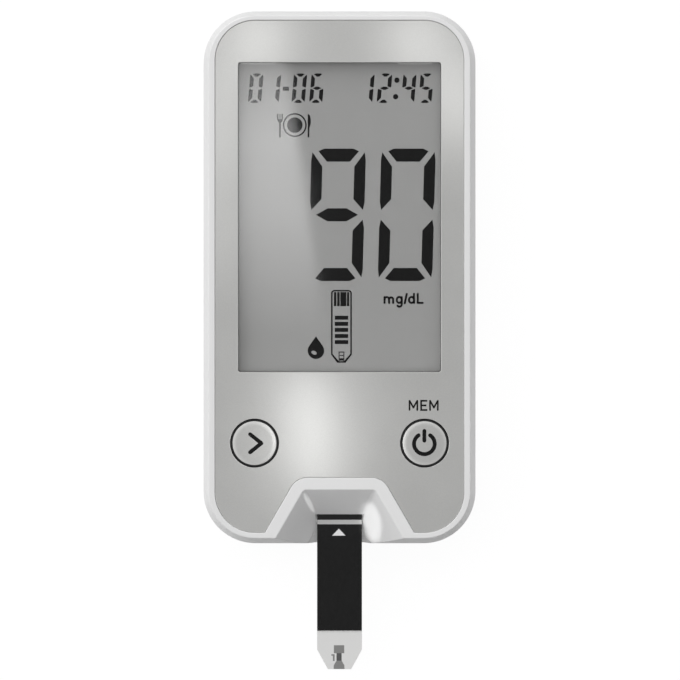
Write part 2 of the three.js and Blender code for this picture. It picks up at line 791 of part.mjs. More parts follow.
// A screw whose head bears at seat, its shank running the way of sign along Z
function screw(x, y, seat, sign, s) {
  const profile = [
    [0, -s.headThick],
    [s.head - s.headThick / 4, -s.headThick],
    [s.head, -s.headThick * 0.75],
    [s.head, 0],
    [s.shank, 0],
    [s.shank, s.length - s.point],
    [0, s.length],
  ].map(([r, z]) => new THREE.Vector2(r, z));
  const geometry = new THREE.LatheGeometry(profile, roundSteps / 2).rotateX(Math.PI / 2);
  if (sign < 0) geometry.rotateX(Math.PI);
  return solid(geometry.translate(x, y, seat));
}

// Finishes
const finish = (color, roughness, metalness) =>
  new THREE.MeshStandardMaterial({ color, roughness, metalness });
const whitePlastic = finish(0xe4e4e4, 0.4, 0);
const silverPaint = finish(0xb4b4b2, 0.35, 0.6);
const blackPlastic = finish(0x1b1b1c, 0.5, 0);
const clearPane = finish(0xd8dde0, 0.1, 0);
const glassGrey = finish(0x9a9b98, 0.2, 0);
const boardGreen = finish(0x1f6b3a, 0.5, 0);
const steel = finish(0xb8babd, 0.3, 1);
const gold = finish(0xd4af5a, 0.3, 1);
const rubberGrey = finish(0x5a5a5c, 0.8, 0);
const stripWhite = finish(0xe6e6e4, 0.45, 0);

const meter = new THREE.Group();
const add = (name, manifold, material) => {
  const mesh = new THREE.Mesh(geometryOf(manifold), material);
  mesh.name = name;
  meter.add(mesh);
};

add("front_housing", frontHousing(), whitePlastic);
add("rear_housing", rearHousing(), whitePlastic);
add("face_plate", facePlate(), silverPaint);
add("display_pane", displayPane(), clearPane);
add("lcd_front_glass", block(frontGlassArea, lcdMiddle, lcdTop), glassGrey);
add("lcd_rear_glass", block(rearGlassArea, lcdBottom, lcdMiddle), glassGrey);
add("lcd_tray", displayTray(), whitePlastic);
add("elastomer_connector", block(elastomerArea(), boardTop, lcdMiddle), rubberGrey);
add("main_board", mainBoard(), boardGreen);
add("processor_chip", chipBlock("processor"), blackPlastic);
add("amplifier_chip", chipBlock("amplifier"), blackPlastic);
add("crystal_can", chipBlock("crystal"), steel);
add("temperature_sensor", temperatureSensor(), blackPlastic);
add("buzzer", buzzerCan(), blackPlastic);
add("strip_connector", stripConnector(), blackPlastic);
fingerPlaces.forEach((x, i) => add(`strip_contact_${i + 1}`, contactFinger(x), gold));
add("battery_door", batteryDoor(), whitePlastic);
for (const [place, y] of cellPlaces) {
  const direction = Math.sign(y - bay.centre);
  const end = direction > 0 ? bayArea().high : bayArea().low;
  add(`coin_cell_${place}`, coinCell(y), steel);
  add(`cell_leaf_${place}`, cellLeaf(y, -direction), steel);
  add(`cell_clip_${place}`, cellClip(end, direction), steel);
}
for (const [name, x] of keyPlaces) {
  add(`key_${name}_cap`, keyCap(x), silverPaint);
  add(`key_${name}_carrier`, keyCarrier(x), blackPlastic);
  add(`switch_${name}_body`, switchBody(x), blackPlastic);
  add(`switch_${name}_plunger`, switchPlunger(x), blackPlastic);
}
bossPlaces.forEach(([x, y], i) => {
  add(`case_screw_${i + 1}`, screw(x, y, caseScrew.seat, 1, caseScrew), steel);
});
postPlaces.forEach(([x, y], i) => {
  add(`board_screw_${i + 1}`, screw(x, y, boardTop, -1, boardScrew), steel);
});
add("strip_base", stripBase(), stripWhite);
add("strip_film", stripFilm(), blackPlastic);

// The origin is the middle of the footprint, strip included
meter.position.y = -(highEnd + stripEnd) / 2;

export default meter;
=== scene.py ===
"""A blood glucose meter with a test strip in its port, lying on a white table.

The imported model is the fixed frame. This script gives every piece its finish: the moulded shells, the silver
face, the door, the keys, the strip and the screws are modelled again with fine edges, and the signs, the
display's figures and the strip's print are added. Solids are drawn in millimetres in the frame's axes, and
are turned to metres when they are done.
"""
import math
from types import SimpleNamespace

import bmesh
import bpy
from mathutils import Matrix, Vector


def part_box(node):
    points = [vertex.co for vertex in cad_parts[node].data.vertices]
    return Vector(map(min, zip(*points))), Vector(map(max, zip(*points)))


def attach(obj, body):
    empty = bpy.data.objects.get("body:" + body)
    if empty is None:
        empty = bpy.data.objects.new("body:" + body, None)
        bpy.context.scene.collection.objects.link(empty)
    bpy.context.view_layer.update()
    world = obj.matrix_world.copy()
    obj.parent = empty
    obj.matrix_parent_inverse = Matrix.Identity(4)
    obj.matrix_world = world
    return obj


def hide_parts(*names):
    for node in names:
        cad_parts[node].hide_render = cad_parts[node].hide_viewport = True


bl_info = {
    "name": "Blood Glucose Meter",
    "version": (1, 0, 0),
    "blender": (4, 5, 0),
    "location": "View3D > Sidebar > Meter",
    "description": "Finishes the pieces of a blood glucose meter around its packed frame",
    "category": "Object",
}

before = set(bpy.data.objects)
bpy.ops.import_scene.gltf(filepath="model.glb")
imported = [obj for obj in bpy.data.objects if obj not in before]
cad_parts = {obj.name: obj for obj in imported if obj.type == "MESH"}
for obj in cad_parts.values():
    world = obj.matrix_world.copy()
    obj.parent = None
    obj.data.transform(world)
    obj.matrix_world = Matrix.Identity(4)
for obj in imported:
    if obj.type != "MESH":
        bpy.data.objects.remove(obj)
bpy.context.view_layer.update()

MM = 0.001
OVERRUN = 1.0  # mm that a cutter runs past what it cuts
FINE_STEPS = 24  # facets in a quarter turn of a case corner
ROUND_STEPS = 96  # facets round a key


def box_mm(node):
    """A node's box in millimetres: left, right, low, high, bottom, top."""
    low, high = (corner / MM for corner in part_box(node))
    return low.x, high.x, low.y, high.y, low.z, high.z


case_left, case_right, case_low, case_high, parting, case_top = box_mm("front_housing")
plate_box = box_mm("face_plate")
pane_box = box_mm("display_pane")
glass_box = box_mm("lcd_front_glass")
door_box = box_mm("battery_door")
strip_box = box_mm("strip_base")
film_box = box_mm("strip_film")


# Sizes and colours that a user would change
def length(name, description, mm):
    """A size, shown in Blender's unit and given here in millimetres."""
    return bpy.props.FloatProperty(
        name=name, description=description, default=mm * MM, precision=5, unit="LENGTH"
    )


def lean(name, description, degrees):
    return bpy.props.FloatProperty(
        name=name, description=description, default=math.radians(degrees), subtype="ANGLE"
    )


def linear(hexcode):
    """An sRGB hex value as linear red, green, blue and alpha."""
    parts = [int(hexcode[i : i + 2], 16) / 255 for i in (1, 3, 5)]
    return tuple(c / 12.92 if c <= 0.04045 else ((c + 0.055) / 1.055) ** 2.4 for c in parts) + (1.0,)


def colour(name, description, hexcode):
    return bpy.props.FloatVectorProperty(
        name=name, description=description, default=linear(hexcode)[:3], subtype="COLOR", min=0, max=1
    )


class CaseSizes(bpy.types.PropertyGroup):
    """The two mouldings of the case"""

    corner: length("Corner", "Radius of the case's corners in plan", 8.8)
    wall: length("Wall", "Thickness of the side walls", 1.6)
    floor: length("Floor", "Thickness of the back", 1.8)
    deck: length("Deck", "Thickness of the wall under the face plate", 1.2)
    draft: length("Draft", "How far the side leans in from the parting line to the rim", 0.9)
    crown: length("Crown", "How far the leaning side swells at half height", 0.12)
    rim_round: length("Rim round", "Radius of the rim's outer edge", 0.2)
    seam: length("Seam", "Depth of the groove along the parting line", 0.14)
    back_round: length("Back round", "Width in plan of the rounded back edge", 5.0)
    lip_height: length("Lip height", "Height of the lip inside the parting line", 0.75)
    lip_thick: length("Lip thickness", "Thickness of that lip", 0.7)
    lip_gap: length("Lip gap", "Gap round that lip", 0.15)
    edge: length("Edge", "Width of the small rounds on moulded edges", 0.13)


class PlateSizes(bpy.types.PropertyGroup):
    """The silver face plate and the opening for the display"""

    corner: length("Corner", "Radius of the plate's corners", 6.75)
    gap: length("Gap", "Gap between the plate and the rim", 0.02)
    edge: length("Edge", "Width of the plate's broken edge", 0.13)
    window_corner: length("Window corner", "Radius of the opening's corners", 0.4)
    flange: length("Flange", "How far the pane's flange reaches under the plate", 0.8)
    flange_thick: length("Flange thickness", "Thickness of the pane's flange", 0.5)
    pane_gap: length("Pane gap", "Gap round the pane's flange", 0.1)
    word_line: length("Word line", "Line width of the printed word", 0.3)


class PortSizes(bpy.types.PropertyGroup):
    """The funnel-shaped strip port"""

    mouth_top: length("Mouth top", "From the case's lower end to the mouth's upper edge", 9.15)
    mouth_half: length("Mouth half", "Half the length of that edge", 6.07)
    lip_rise: length("Lip rise", "From the case's lower end to the slot's lip", 4.9)
    ridge: length("Ridge", "Width of the ridge round the mouth", 2.03)
    notch_radius: length("Notch radius", "Radius of the ridge's upper corners", 3.25)
    mouth_radius: length("Mouth radius", "Radius of the rounds in the funnel's corners", 0.8)
    sill: length("Sill", "Height at which the funnel ends under the slot", 6.0)
    wall: length("Wall", "Thickness of the wall behind the funnel's faces", 1.5)
    slot_width: length("Slot width", "Width of the slot", 8.1)
    slot_height: length("Slot height", "Height of the slot", 1.0)
    slot_top: length("Slot top", "Height of the slot's upper lip", 9.4)
    slot_lead: length("Slot lead", "Size of the flare at the slot's lip", 0.06)
    side_lean: lean("Side lean", "Lean of the mouth's side edges from the X axis", 60)


class KeySizes(bpy.types.PropertyGroup):
    """The round keys and their signs"""

    hole: length("Hole", "Radius of the key's hole in the plate", 4.09)
    slip: length("Slip", "Extra radius of its hole in the case", 0.12)
    fall: length("Fall", "How much the key's face falls to its edge", 0.02)
    rim: length("Rim", "Radius of the key's rounded edge", 0.08)
    sign_line: length("Sign line", "Line width of the signs", 0.66)
    ink: length("Ink", "Thickness of the printed ink", 0.012)


class BaySizes(bpy.types.PropertyGroup):
    """The battery bay and its door"""

    overlap: length("Overlap", "How far the door covers the bay's edge", 1.5)
    wall: length("Wall", "Thickness of the bay's walls", 1.1)
    rim: length("Rim", "Width of the rim that the door rests in", 2.6)
    rim_height: length("Rim height", "Height of that rim", 3.0)
    corner: length("Corner", "Radius of the bay's corners", 1.2)
    door_thick: length("Door thickness", "Thickness of the door", 1.3)
    door_sunk: length("Door depth", "How deep the door lies in the back", 0.25)
    door_gap: length("Door gap", "Gap round the door", 0.15)
    door_corner: length("Door corner", "Radius of the door's corners", 1.6)
    pin: length("Pin", "Radius of the hinge pins", 0.45)
    pin_long: length("Pin length", "How far a hinge pin stands out", 0.8)
    latch_width: length("Latch width", "Width of the latch tongue", 6.0)
    latch_length: length("Latch length", "How far the tongue reaches out", 1.2)
    latch_thick: length("Latch thickness", "Thickness of the tongue", 0.7)
    latch_gap: length("Latch gap", "Gap beside the tongue", 0.3)
    scoop_width: length("Scoop width", "Width of the finger scoop", 15.0)
    scoop_depth: length("Scoop depth", "Depth of the finger scoop", 1.05)
    grip_pitch: length("Grip pitch", "From one grip groove to the next", 1.3)
    grip_width: length("Grip width", "Width of a grip groove", 0.6)
    grip_depth: length("Grip depth", "Depth of a grip groove", 0.3)
    grip_long: length("Grip length", "Length of a grip groove", 9.0)
    grip_start: length("Grip start", "From the door's lower edge to the first groove", 2.6)
    grip_count: bpy.props.IntProperty(name="Grip count", description="Number of grip grooves", default=4)


class ScrewSizes(bpy.types.PropertyGroup):
    """Screws, and the bosses and posts that hold them"""

    boss: length("Boss", "Radius of a screw boss", 2.2)
    well: length("Well", "Radius of the well for a screw's head", 1.75)
    hole: length("Hole", "Radius of a screw's clear hole", 0.95)
    pilot: length("Pilot", "Radius of the hole that it bites in", 0.7)
    pilot_spare: length("Pilot spare", "Depth of that hole past the screw's point", 0.6)
    post: length("Post", "Radius of a circuit board post", 2.0)
    post_hole: length("Post hole", "Radius of the hole in a post", 0.75)
    post_depth: length("Post depth", "Depth of that hole", 4.0)
    case_head: length("Case head", "Height of a case screw's head", 1.0)
    board_head: length("Board head", "Height of a board screw's head", 0.9)
    shank: length("Shank", "Radius of a screw's shank inside its thread", 0.58)
    point: length("Point", "Length of a screw's point", 0.7)
    recess_long: length("Recess length", "Length of the cross recess", 1.7)
    recess_wide: length("Recess width", "Width of the cross recess", 0.42)
    recess_deep: length("Recess depth", "Depth of the cross recess", 0.55)


class DisplaySizes(bpy.types.PropertyGroup):
    """The display's figures and signs"""

    ink: length("Segment thickness", "Height of the segments over the glass", 0.012)
    big_width: length("Figure width", "Width of a large figure", 9.2)
    big_height: length("Figure height", "Height of a large figure", 22.35)
    big_upright: length("Upright", "Width of a large figure's upright segments", 1.9)
    big_level: length("Level", "Height of a large figure's level segments", 2.2)
    big_pitch: length("Figure pitch", "From one large figure to the next", 11.77)
    small_width: length("Small width", "Width of a small figure", 2.24)
    small_height: length("Small height", "Height of a small figure", 4.97)
    small_upright: length("Small upright", "Width of a small figure's upright segments", 0.66)
    small_level: length("Small level", "Height of a small figure's level segments", 0.54)
    unit_line: length("Unit line", "Line width of the unit's letters", 0.36)
    # The gasket's dark edge inside the window is partly painted shade along the window's edges
    gasket: length("Gasket", "How far the display's gasket shows inside the window", 0.06)
    gasket_cover: length("Gasket cover", "How far the gasket reaches behind the window's edge", 1.6)
    gasket_gap: length("Gasket gap", "Gap over the gasket", 0.02)
    big_lean: lean("Figure lean", "Lean of the large figures", 1.56)
    small_lean: lean("Small lean", "Lean of the small figures", 5)


class Colours(bpy.types.PropertyGroup):
    """The finishes' colours"""

    case: colour("Case", "Moulded white plastic of the case", "#efefef")
    plate: colour("Plate", "Silver lacquer of the face plate and keys", "#dadad8")
    display: colour("Display", "Grey of the display's background", "#b6b6b5")
    figures: colour("Figures", "Dark segments of the display", "#0e0e0e")
    ink: colour("Ink", "Printed signs on the plate and keys", "#0a0a0a")
    film: colour("Film", "Dark cover film of the test strip", "#111111")
    strip: colour("Strip", "White base of the test strip", "#e8e8e7")
    sample: colour("Sample channel", "Grey sample channel of the test strip", "#8a8a89")


groups = {
    "case": CaseSizes,
    "plate": PlateSizes,
    "port": PortSizes,
    "key": KeySizes,
    "bay": BaySizes,
    "screw": ScrewSizes,
    "display": DisplaySizes,
    "colours": Colours,
}


def sizes(group):
    """A group's values, its lengths in millimetres."""
    held = getattr(bpy.context.scene, "meter_" + group)
    values = {}
    for name in groups[group].__annotations__:
        value = getattr(held, name)
        values[name] = value / MM if held.bl_rna.properties[name].unit == "LENGTH" else value
    return SimpleNamespace(**values)


def hue(name):
    return tuple(getattr(bpy.context.scene.meter_colours, name)) + (1.0,)


# Outlines, in millimetres. An area is left, right, low, high.
def grown(a, by):
    return (a[0] - by, a[1] + by, a[2] - by, a[3] + by)


def arc(x, y, radius, start, end, steps):
    """Points along an arc from one angle to another, in degrees, both ends among them."""
    angles = [math.radians(start + (end - start) * i / steps) for i in range(steps + 1)]
    return [(x + radius * math.cos(a), y + radius * math.sin(a)) for a in angles]


def circle(x, y, radius, steps=48):
    return arc(x, y, radius, 0, 360, steps)[:-1]


def square(a):
    left, right, low, high = a
    return [(right, low), (right, high), (left, high), (left, low)]


def rounded(a, radius, steps=FINE_STEPS):
    """A rectangle with round corners, anticlockwise from the end of its right side."""
    left, right, low, high = a
    return (
        arc(right - radius, high - radius, radius, 0, 90, steps)
        + arc(left + radius, high - radius, radius, 90, 180, steps)
        + arc(left + radius, low + radius, radius, 180, 270, steps)
        + arc(right - radius, low + radius, radius, 270, 360, steps)
    )


def ribbon(path, width, steps=8):
    """The outline of a line of even width along a path, its ends and the outer sides of its bends round."""
    points = [Vector(p) for p in path]
    along = [(b - a).normalized() for a, b in zip(points, points[1:])]

    def side(i, hand):
        """The outline at a bend, to the left of the path for a hand of 1 and to the right for -1."""
        point, before, after = points[i], along[i - 1], along[i]
        turn = math.degrees(before.cross(after) and math.atan2(before.cross(after), before.dot(after)))
        if turn * hand < 0 and abs(turn) > 15:
            start = math.degrees(math.atan2(hand * before.x, -hand * before.y))
            return arc(point.x, point.y, width / 2, start, start + turn, 4)
        middle = (before + after).normalized()
        reach = hand * width / 2 / max(middle.dot(after), 0.3)
        return [(point.x - middle.y * reach, point.y + middle.x * reach)]

    def cap(point, way):
        angle = math.degrees(math.atan2(way.y, way.x))
        return arc(point.x, point.y, width / 2, angle - 90, angle + 90, steps)

    inner = range(1, len(points) - 1)
    right = [p for i in inner for p in side(i, -1)]
    left = [p for i in reversed(inner) for p in reversed(side(i, 1))]
    return right + cap(points[-1], along[-1]) + left + cap(points[0], -along[0])


def at_height(outline, z):
    return [(x, y, z) for x, y in outline]


# Solids, in millimetres
def new_object(name, vertices, faces):
    mesh = bpy.data.meshes.new(name)
    mesh.from_pydata(vertices, [], faces)
    thing = bpy.data.objects.new(name, mesh)
    bpy.context.scene.collection.objects.link(thing)
    return thing


def loft(rings, name="solid"):
    """A closed skin through rings of equally many points, each anticlockwise seen from the last one."""
    count = len(rings[0])
    faces = [
        (r * count + i, r * count + (i + 1) % count, (r + 1) * count + (i + 1) % count, (r + 1) * count + i)
        for r in range(len(rings) - 1)
        for i in range(count)
    ]
    last = (len(rings) - 1) * count
    faces.append(tuple(reversed(range(count))))
    faces.append(tuple(range(last, last + count)))
    return new_object(name, [p for ring in rings for p in ring], faces)


def prism(outline, bottom, top, name="solid"):
    return loft([at_height(outline, bottom), at_height(outline, top)], name)


def block(a, bottom, top):
    return prism(square(a), bottom, top)


def rod(x, y, radius, bottom, top, steps=48):
    return prism(circle(x, y, radius, steps), bottom, top)


def cross_rod(y, z, radius, left, right, steps=32):
    """A rod that lies along X."""
    return loft([[(x, y - u, z + v) for u, v in circle(0, 0, radius, steps)] for x in (right, left)])


def turned(name, profile, x, y, steps=ROUND_STEPS):
    """A solid turned about a line along Z, of a profile of radius and height from the bottom up."""
    return loft([at_height(circle(x, y, r, steps), z) for r, z in profile], name)


def add_modifier(thing, kind, **values):
    modifier = thing.modifiers.new(kind.title(), kind)
    for name, value in values.items():
        setattr(modifier, name, value)
    return modifier


def evaluated(thing):
    """Puts what the object's modifiers make into its mesh, and takes them off."""
    graph = bpy.context.evaluated_depsgraph_get()
    old = thing.data
    made = bpy.data.meshes.new_from_object(
        thing.evaluated_get(graph), preserve_all_data_layers=True, depsgraph=graph
    )
    thing.modifiers.clear()
    thing.data = made
    bpy.data.meshes.remove(old)
    made.name = thing.name
    return thing


def combined(thing, others, operation):
    """Joins solids to one, or cuts them from it. The others are used up."""
    for other in others:
        add_modifier(thing, "BOOLEAN", operation=operation, solver="EXACT", object=other)
    evaluated(thing)
    for other in others:
        bpy.data.meshes.remove(other.data)
    if not thing.data.polygons:
        raise RuntimeError(f"{thing.name} came out empty")
    return thing


def cut(thing, *others):
    return combined(thing, others, "DIFFERENCE")


def join(thing, *others):
    return combined(thing, others, "UNION")


def common(thing, other):
    return combined(thing, [other], "INTERSECT")


def softened(thing, width, segments=3, angle=50, spared=None):
    """Rounds the sharp edges, and keeps flat faces flat in the light.

    Edges that have their middle in the spared box, given by two corners, stay as they are.
    """
    add_modifier(thing, "WELD", merge_threshold=0.0005)
    add_modifier(thing, "DECIMATE", decimate_type="DISSOLVE", angle_limit=math.radians(0.2))
    evaluated(thing)
    form = bmesh.new()
    form.from_mesh(thing.data)
    weight = form.edges.layers.float.new("bevel_weight_edge")
    for edge in form.edges:
        middle = (edge.verts[0].co + edge.verts[1].co) / 2
        inside = spared and all(low < m < high for low, m, high in zip(spared[0], middle, spared[1]))
        edge[weight] = float(edge.calc_face_angle(0) > math.radians(angle) and not inside)
    form.to_mesh(thing.data)
    form.free()
    add_modifier(
        thing,
        "BEVEL",
        width=width,
        segments=segments,
        limit_method="WEIGHT",
        use_clamp_overlap=False,
        miter_outer="MITER_ARC",
    )
    evaluated(thing)
    thing.data.polygons.foreach_set("use_smooth", [True] * len(thing.data.polygons))
    thing.data.set_sharp_from_angle(angle=math.radians(30))
    add_modifier(thing, "WEIGHTED_NORMAL", keep_sharp=True, weight=100)
    return evaluated(thing)


def mesh_of(curve, height):
    """A flat curve or words as a closed mesh whose middle lies at a height."""
    name = curve.name
    drawn = bpy.data.objects.new("drawn", curve)
    bpy.context.scene.collection.objects.link(drawn)
    graph = bpy.context.evaluated_depsgraph_get()
    mesh = bpy.data.meshes.new_from_object(drawn.evaluated_get(graph))
    mesh.transform(Matrix.Translation((0, 0, height)))
    bpy.data.objects.remove(drawn)
    bpy.data.curves.remove(curve)
    thing = bpy.data.objects.new(name, mesh)
    bpy.context.scene.collection.objects.link(thing)
    add_modifier(thing, "WELD", merge_threshold=0.0005)
    return evaluated(thing)


def flat_piece(name, outlines, bottom, top):
    """A flat piece whose closed outlines are filled. Every second one of nested outlines is a hole."""
    curve = bpy.data.curves.new(name, "CURVE")
    curve.dimensions = "2D"
    curve.fill_mode = "BOTH"
    curve.extrude = (top - bottom) / 2
    for outline in outlines:
        spline = curve.splines.new("POLY")
        spline.points.add(len(outline) - 1)
        for point, (x, y) in zip(spline.points, outline):
            point.co = (x, y, 0, 1)
        spline.use_cyclic_u = True
    return mesh_of(curve, (bottom + top) / 2)


def together(name, things):
    """Several meshes that don't touch, as one piece."""
    rows, faces = [], []
    for thing in things:
        start = len(rows)
        rows += [tuple(v.co) for v in thing.data.vertices]
        faces += [tuple(start + i for i in p.vertices) for p in thing.data.polygons]
        bpy.data.meshes.remove(thing.data)
    return new_object(name, rows, faces)


def finished(thing, body, material, replaces=()):
    """Turns a solid to metres, gives it its finish and hangs it on its body."""
    mesh = thing.data
    mesh.transform(Matrix.Scale(MM, 4))
    if "custom_normal" not in mesh.attributes:
        mesh.polygons.foreach_set("use_smooth", [True] * len(mesh.polygons))
        mesh.set_sharp_from_angle(angle=math.radians(30))
    mesh.materials.clear()
    mesh.materials.append(material)
    thing.name = mesh.name
    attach(thing, body)
    if replaces:
        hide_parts(*replaces)
    return thing


def dressed(node, material, edge, angle=30):
    """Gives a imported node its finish, and rounds its small edges by modifiers."""
    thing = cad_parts[node]
    thing.data.materials.clear()
    thing.data.materials.append(material)
    thing.data.polygons.foreach_set("use_smooth", [True] * len(thing.data.polygons))
    add_modifier(thing, "WELD", merge_threshold=0.0005 * MM)
    add_modifier(thing, "DECIMATE", decimate_type="DISSOLVE", angle_limit=math.radians(1))
    add_modifier(
        thing,
        "BEVEL",
        width=edge * MM,
        segments=2,
        limit_method="ANGLE",
        angle_limit=math.radians(angle),
    )
    add_modifier(thing, "WEIGHTED_NORMAL", weight=100)
    return thing


# Node trees
def feed(tree, node, inputs):
    """Sets or links a node's inputs.

    Each is given as a value, a socket, a node, which stands for its first output, or a list of these where
    several links may enter.
    """
    for name, given in inputs.items():
        for value in given if isinstance(given, list) else [given]:
            if isinstance(value, bpy.types.Node):
                value = value.outputs[0]
            if isinstance(value, bpy.types.NodeSocket):
                tree.links.new(value, node.inputs[name])
            else:
                node.inputs[name].default_value = value


def add_node(tree, kind, inputs=None, **attributes):
    """Adds a node, sets its attributes, and feeds its inputs."""
    node = tree.nodes.new(kind)
    for name, value in attributes.items():
        setattr(node, name, value)
    feed(tree, node, inputs or {})
    return node


def total(tree, *terms):
    """The sum of numbers, sockets and nodes, each times a factor."""
    result = None
    for value, factor in terms:
        term = add_node(tree, "ShaderNodeMath", {0: value, 1: factor}, operation="MULTIPLY")
        if result is not None:
            term = add_node(tree, "ShaderNodeMath", {0: result, 1: term}, operation="ADD")
        result = term
    return result


def moved(tree, mesh, x, z):
    """A mesh moved along X and up."""
    place = add_node(tree, "ShaderNodeCombineXYZ", {"X": x, "Z": z})
    return add_node(tree, "GeometryNodeTransform", {"Geometry": mesh, "Translation": place})


def rotated(tree, mesh, x, z):
    """A mesh turned about X and Z."""
    angles = add_node(tree, "ShaderNodeCombineXYZ", {"X": x, "Z": z})
    turn = add_node(tree, "FunctionNodeEulerToRotation", {"Euler": angles})
    return add_node(tree, "GeometryNodeTransform", {"Geometry": mesh, "Rotation": turn})


def bar(tree, long, wide, high, x=0.0, z=0.0):
    """A bar of a size, moved along X and up."""
    size = add_node(tree, "ShaderNodeCombineXYZ", {"X": long, "Y": wide, "Z": high})
    return moved(tree, add_node(tree, "GeometryNodeMeshCube", {"Size": size}), x, z)


def repeated(name, places, part, values, material):
    """Puts one part on every place by Geometry Nodes, and returns the result as a plain mesh.

    part builds the part in the tree from its inputs, which are named and set by values.
    """
    tree = bpy.data.node_groups.new(name, "GeometryNodeTree")
    tree.interface.new_socket("Geometry", in_out="INPUT", socket_type="NodeSocketGeometry")
    tree.interface.new_socket("Geometry", in_out="OUTPUT", socket_type="NodeSocketGeometry")
    held = {
        label: tree.interface.new_socket(label, in_out="INPUT", socket_type="NodeSocketFloat").identifier
        for label in values
    }
    entry = add_node(tree, "NodeGroupInput")
    made = part(tree, {label: entry.outputs[label] for label in values})
    points = {"Points": entry.outputs["Geometry"], "Instance": made}
    spread = add_node(tree, "GeometryNodeInstanceOnPoints", points)
    real = add_node(tree, "GeometryNodeRealizeInstances", {"Geometry": spread})
    coat = add_node(tree, "GeometryNodeSetMaterial", {"Geometry": real, "Material": material})
    add_node(tree, "NodeGroupOutput", {"Geometry": coat})
    thing = new_object(name, places, [])
    modifier = add_modifier(thing, "NODES", node_group=tree)
    for label, value in values.items():
        modifier[held[label]] = float(value)
    return evaluated(thing)


def screw_part(tree, given):
    """A screw on its point: a thread round a shank, and a head with a cross recess."""
    radius, height = given["Head radius"], given["Head height"]
    shank, reach, point = given["Shank radius"], given["Length"], given["Point"]
    edge_share = 0.75  # of the head's height, under its dome
    stem = {"Vertices": 24, "Radius": shank, "Depth": total(tree, (reach, 1.0), (point, -1.0))}
    tip = {
        "Vertices": 24,
        "Radius Top": shank,
        "Radius Bottom": total(tree, (shank, 0.2)),
        "Depth": point,
    }
    edge = {"Vertices": 40, "Radius": radius, "Depth": total(tree, (height, edge_share))}
    dome = {
        "Vertices": 40,
        "Radius Top": total(tree, (radius, 0.82)),
        "Radius Bottom": radius,
        "Depth": total(tree, (height, 1 - edge_share)),
    }
    solids = [
        moved(tree, add_node(tree, "GeometryNodeMesh" + kind, form), 0.0, total(tree, *lift))
        for kind, form, lift in (
            ("Cylinder", edge, [(height, edge_share / 2)]),
            ("Cone", dome, [(height, edge_share)]),
            ("Cylinder", stem, [(reach, -0.5), (point, 0.5)]),
            ("Cone", tip, [(reach, -1.0)]),
        )
    ]
    union = {"operation": "UNION", "solver": "EXACT"}
    solid = add_node(tree, "GeometryNodeMeshBoolean", {"Mesh 2": solids}, **union)
    long, wide = given["Recess length"], given["Recess width"]
    deep = total(tree, (given["Recess depth"], 2.0))
    bars = [bar(tree, long, wide, deep), bar(tree, wide, long, deep)]
    recess = add_node(tree, "GeometryNodeMeshBoolean", {"Mesh 2": bars}, **union)
    head = add_node(
        tree,
        "GeometryNodeMeshBoolean",
        {"Mesh 1": solid, "Mesh 2": moved(tree, recess, 0.0, height)},
        operation="DIFFERENCE",
        solver="EXACT",
    )
    coil = add_node(
        tree,
        "GeometryNodeCurveSpiral",
        {
            "Resolution": 16,
            "Rotations": total(tree, (reach, 1.5)),
            "Start Radius": total(tree, (shank, 0.7)),
            "End Radius": shank,
            "Height": total(tree, (reach, 0.9)),
        },
    )
    wire = {"Resolution": 4, "Radius": total(tree, (shank, 0.16))}
    wire = add_node(tree, "GeometryNodeCurvePrimitiveCircle", wire)
    thread = {"Curve": coil, "Profile Curve": wire, "Fill Caps": True}
    thread = add_node(tree, "GeometryNodeCurveToMesh", thread)
    pieces = [head, moved(tree, thread, 0.0, total(tree, (reach, -0.95)))]
    both = add_node(tree, "GeometryNodeJoinGeometry", {"Geometry": pieces})
    return rotated(tree, both, given["Turn"], 0.0)


def lead_part(tree, given):
    """A chip's lead: a shoulder out of its side, a leg, and a foot on the board."""
    reach, width, thick, rise = (given[label] for label in ("Reach", "Width", "Thickness", "Rise"))
    bars = [
        bar(tree, reach, width, thick, 0.0, rise),
        bar(tree, thick, width, rise, total(tree, (reach, 0.5)), total(tree, (rise, 0.55))),
        bar(tree, reach, width, thick, total(tree, (reach, 0.95)), total(tree, (thick, 0.5))),
    ]
    lead = add_node(
        tree, "GeometryNodeMeshBoolean", {"Mesh 2": bars}, operation="UNION", solver="EXACT"
    )
    return rotated(tree, lead, 0.0, given["Turn"])


def groove_part(tree, given):
    """The bar that cuts one grip groove."""
    return bar(tree, given["Length"], given["Width"], given["Depth"])


# Materials
def new_material(name):
    """An empty material, as itself, its tree, its Principled shader and its Object coordinates."""
    material = bpy.data.materials.new(name)
    material.use_nodes = True
    tree = material.node_tree
    where = add_node(tree, "ShaderNodeTexCoord").outputs["Object"]
    return material, tree, tree.nodes["Principled BSDF"], where


def shade(rgb, by):
    """A colour made lighter or darker."""
    return tuple(min(1.0, c * by) for c in rgb[:3]) + (1.0,)


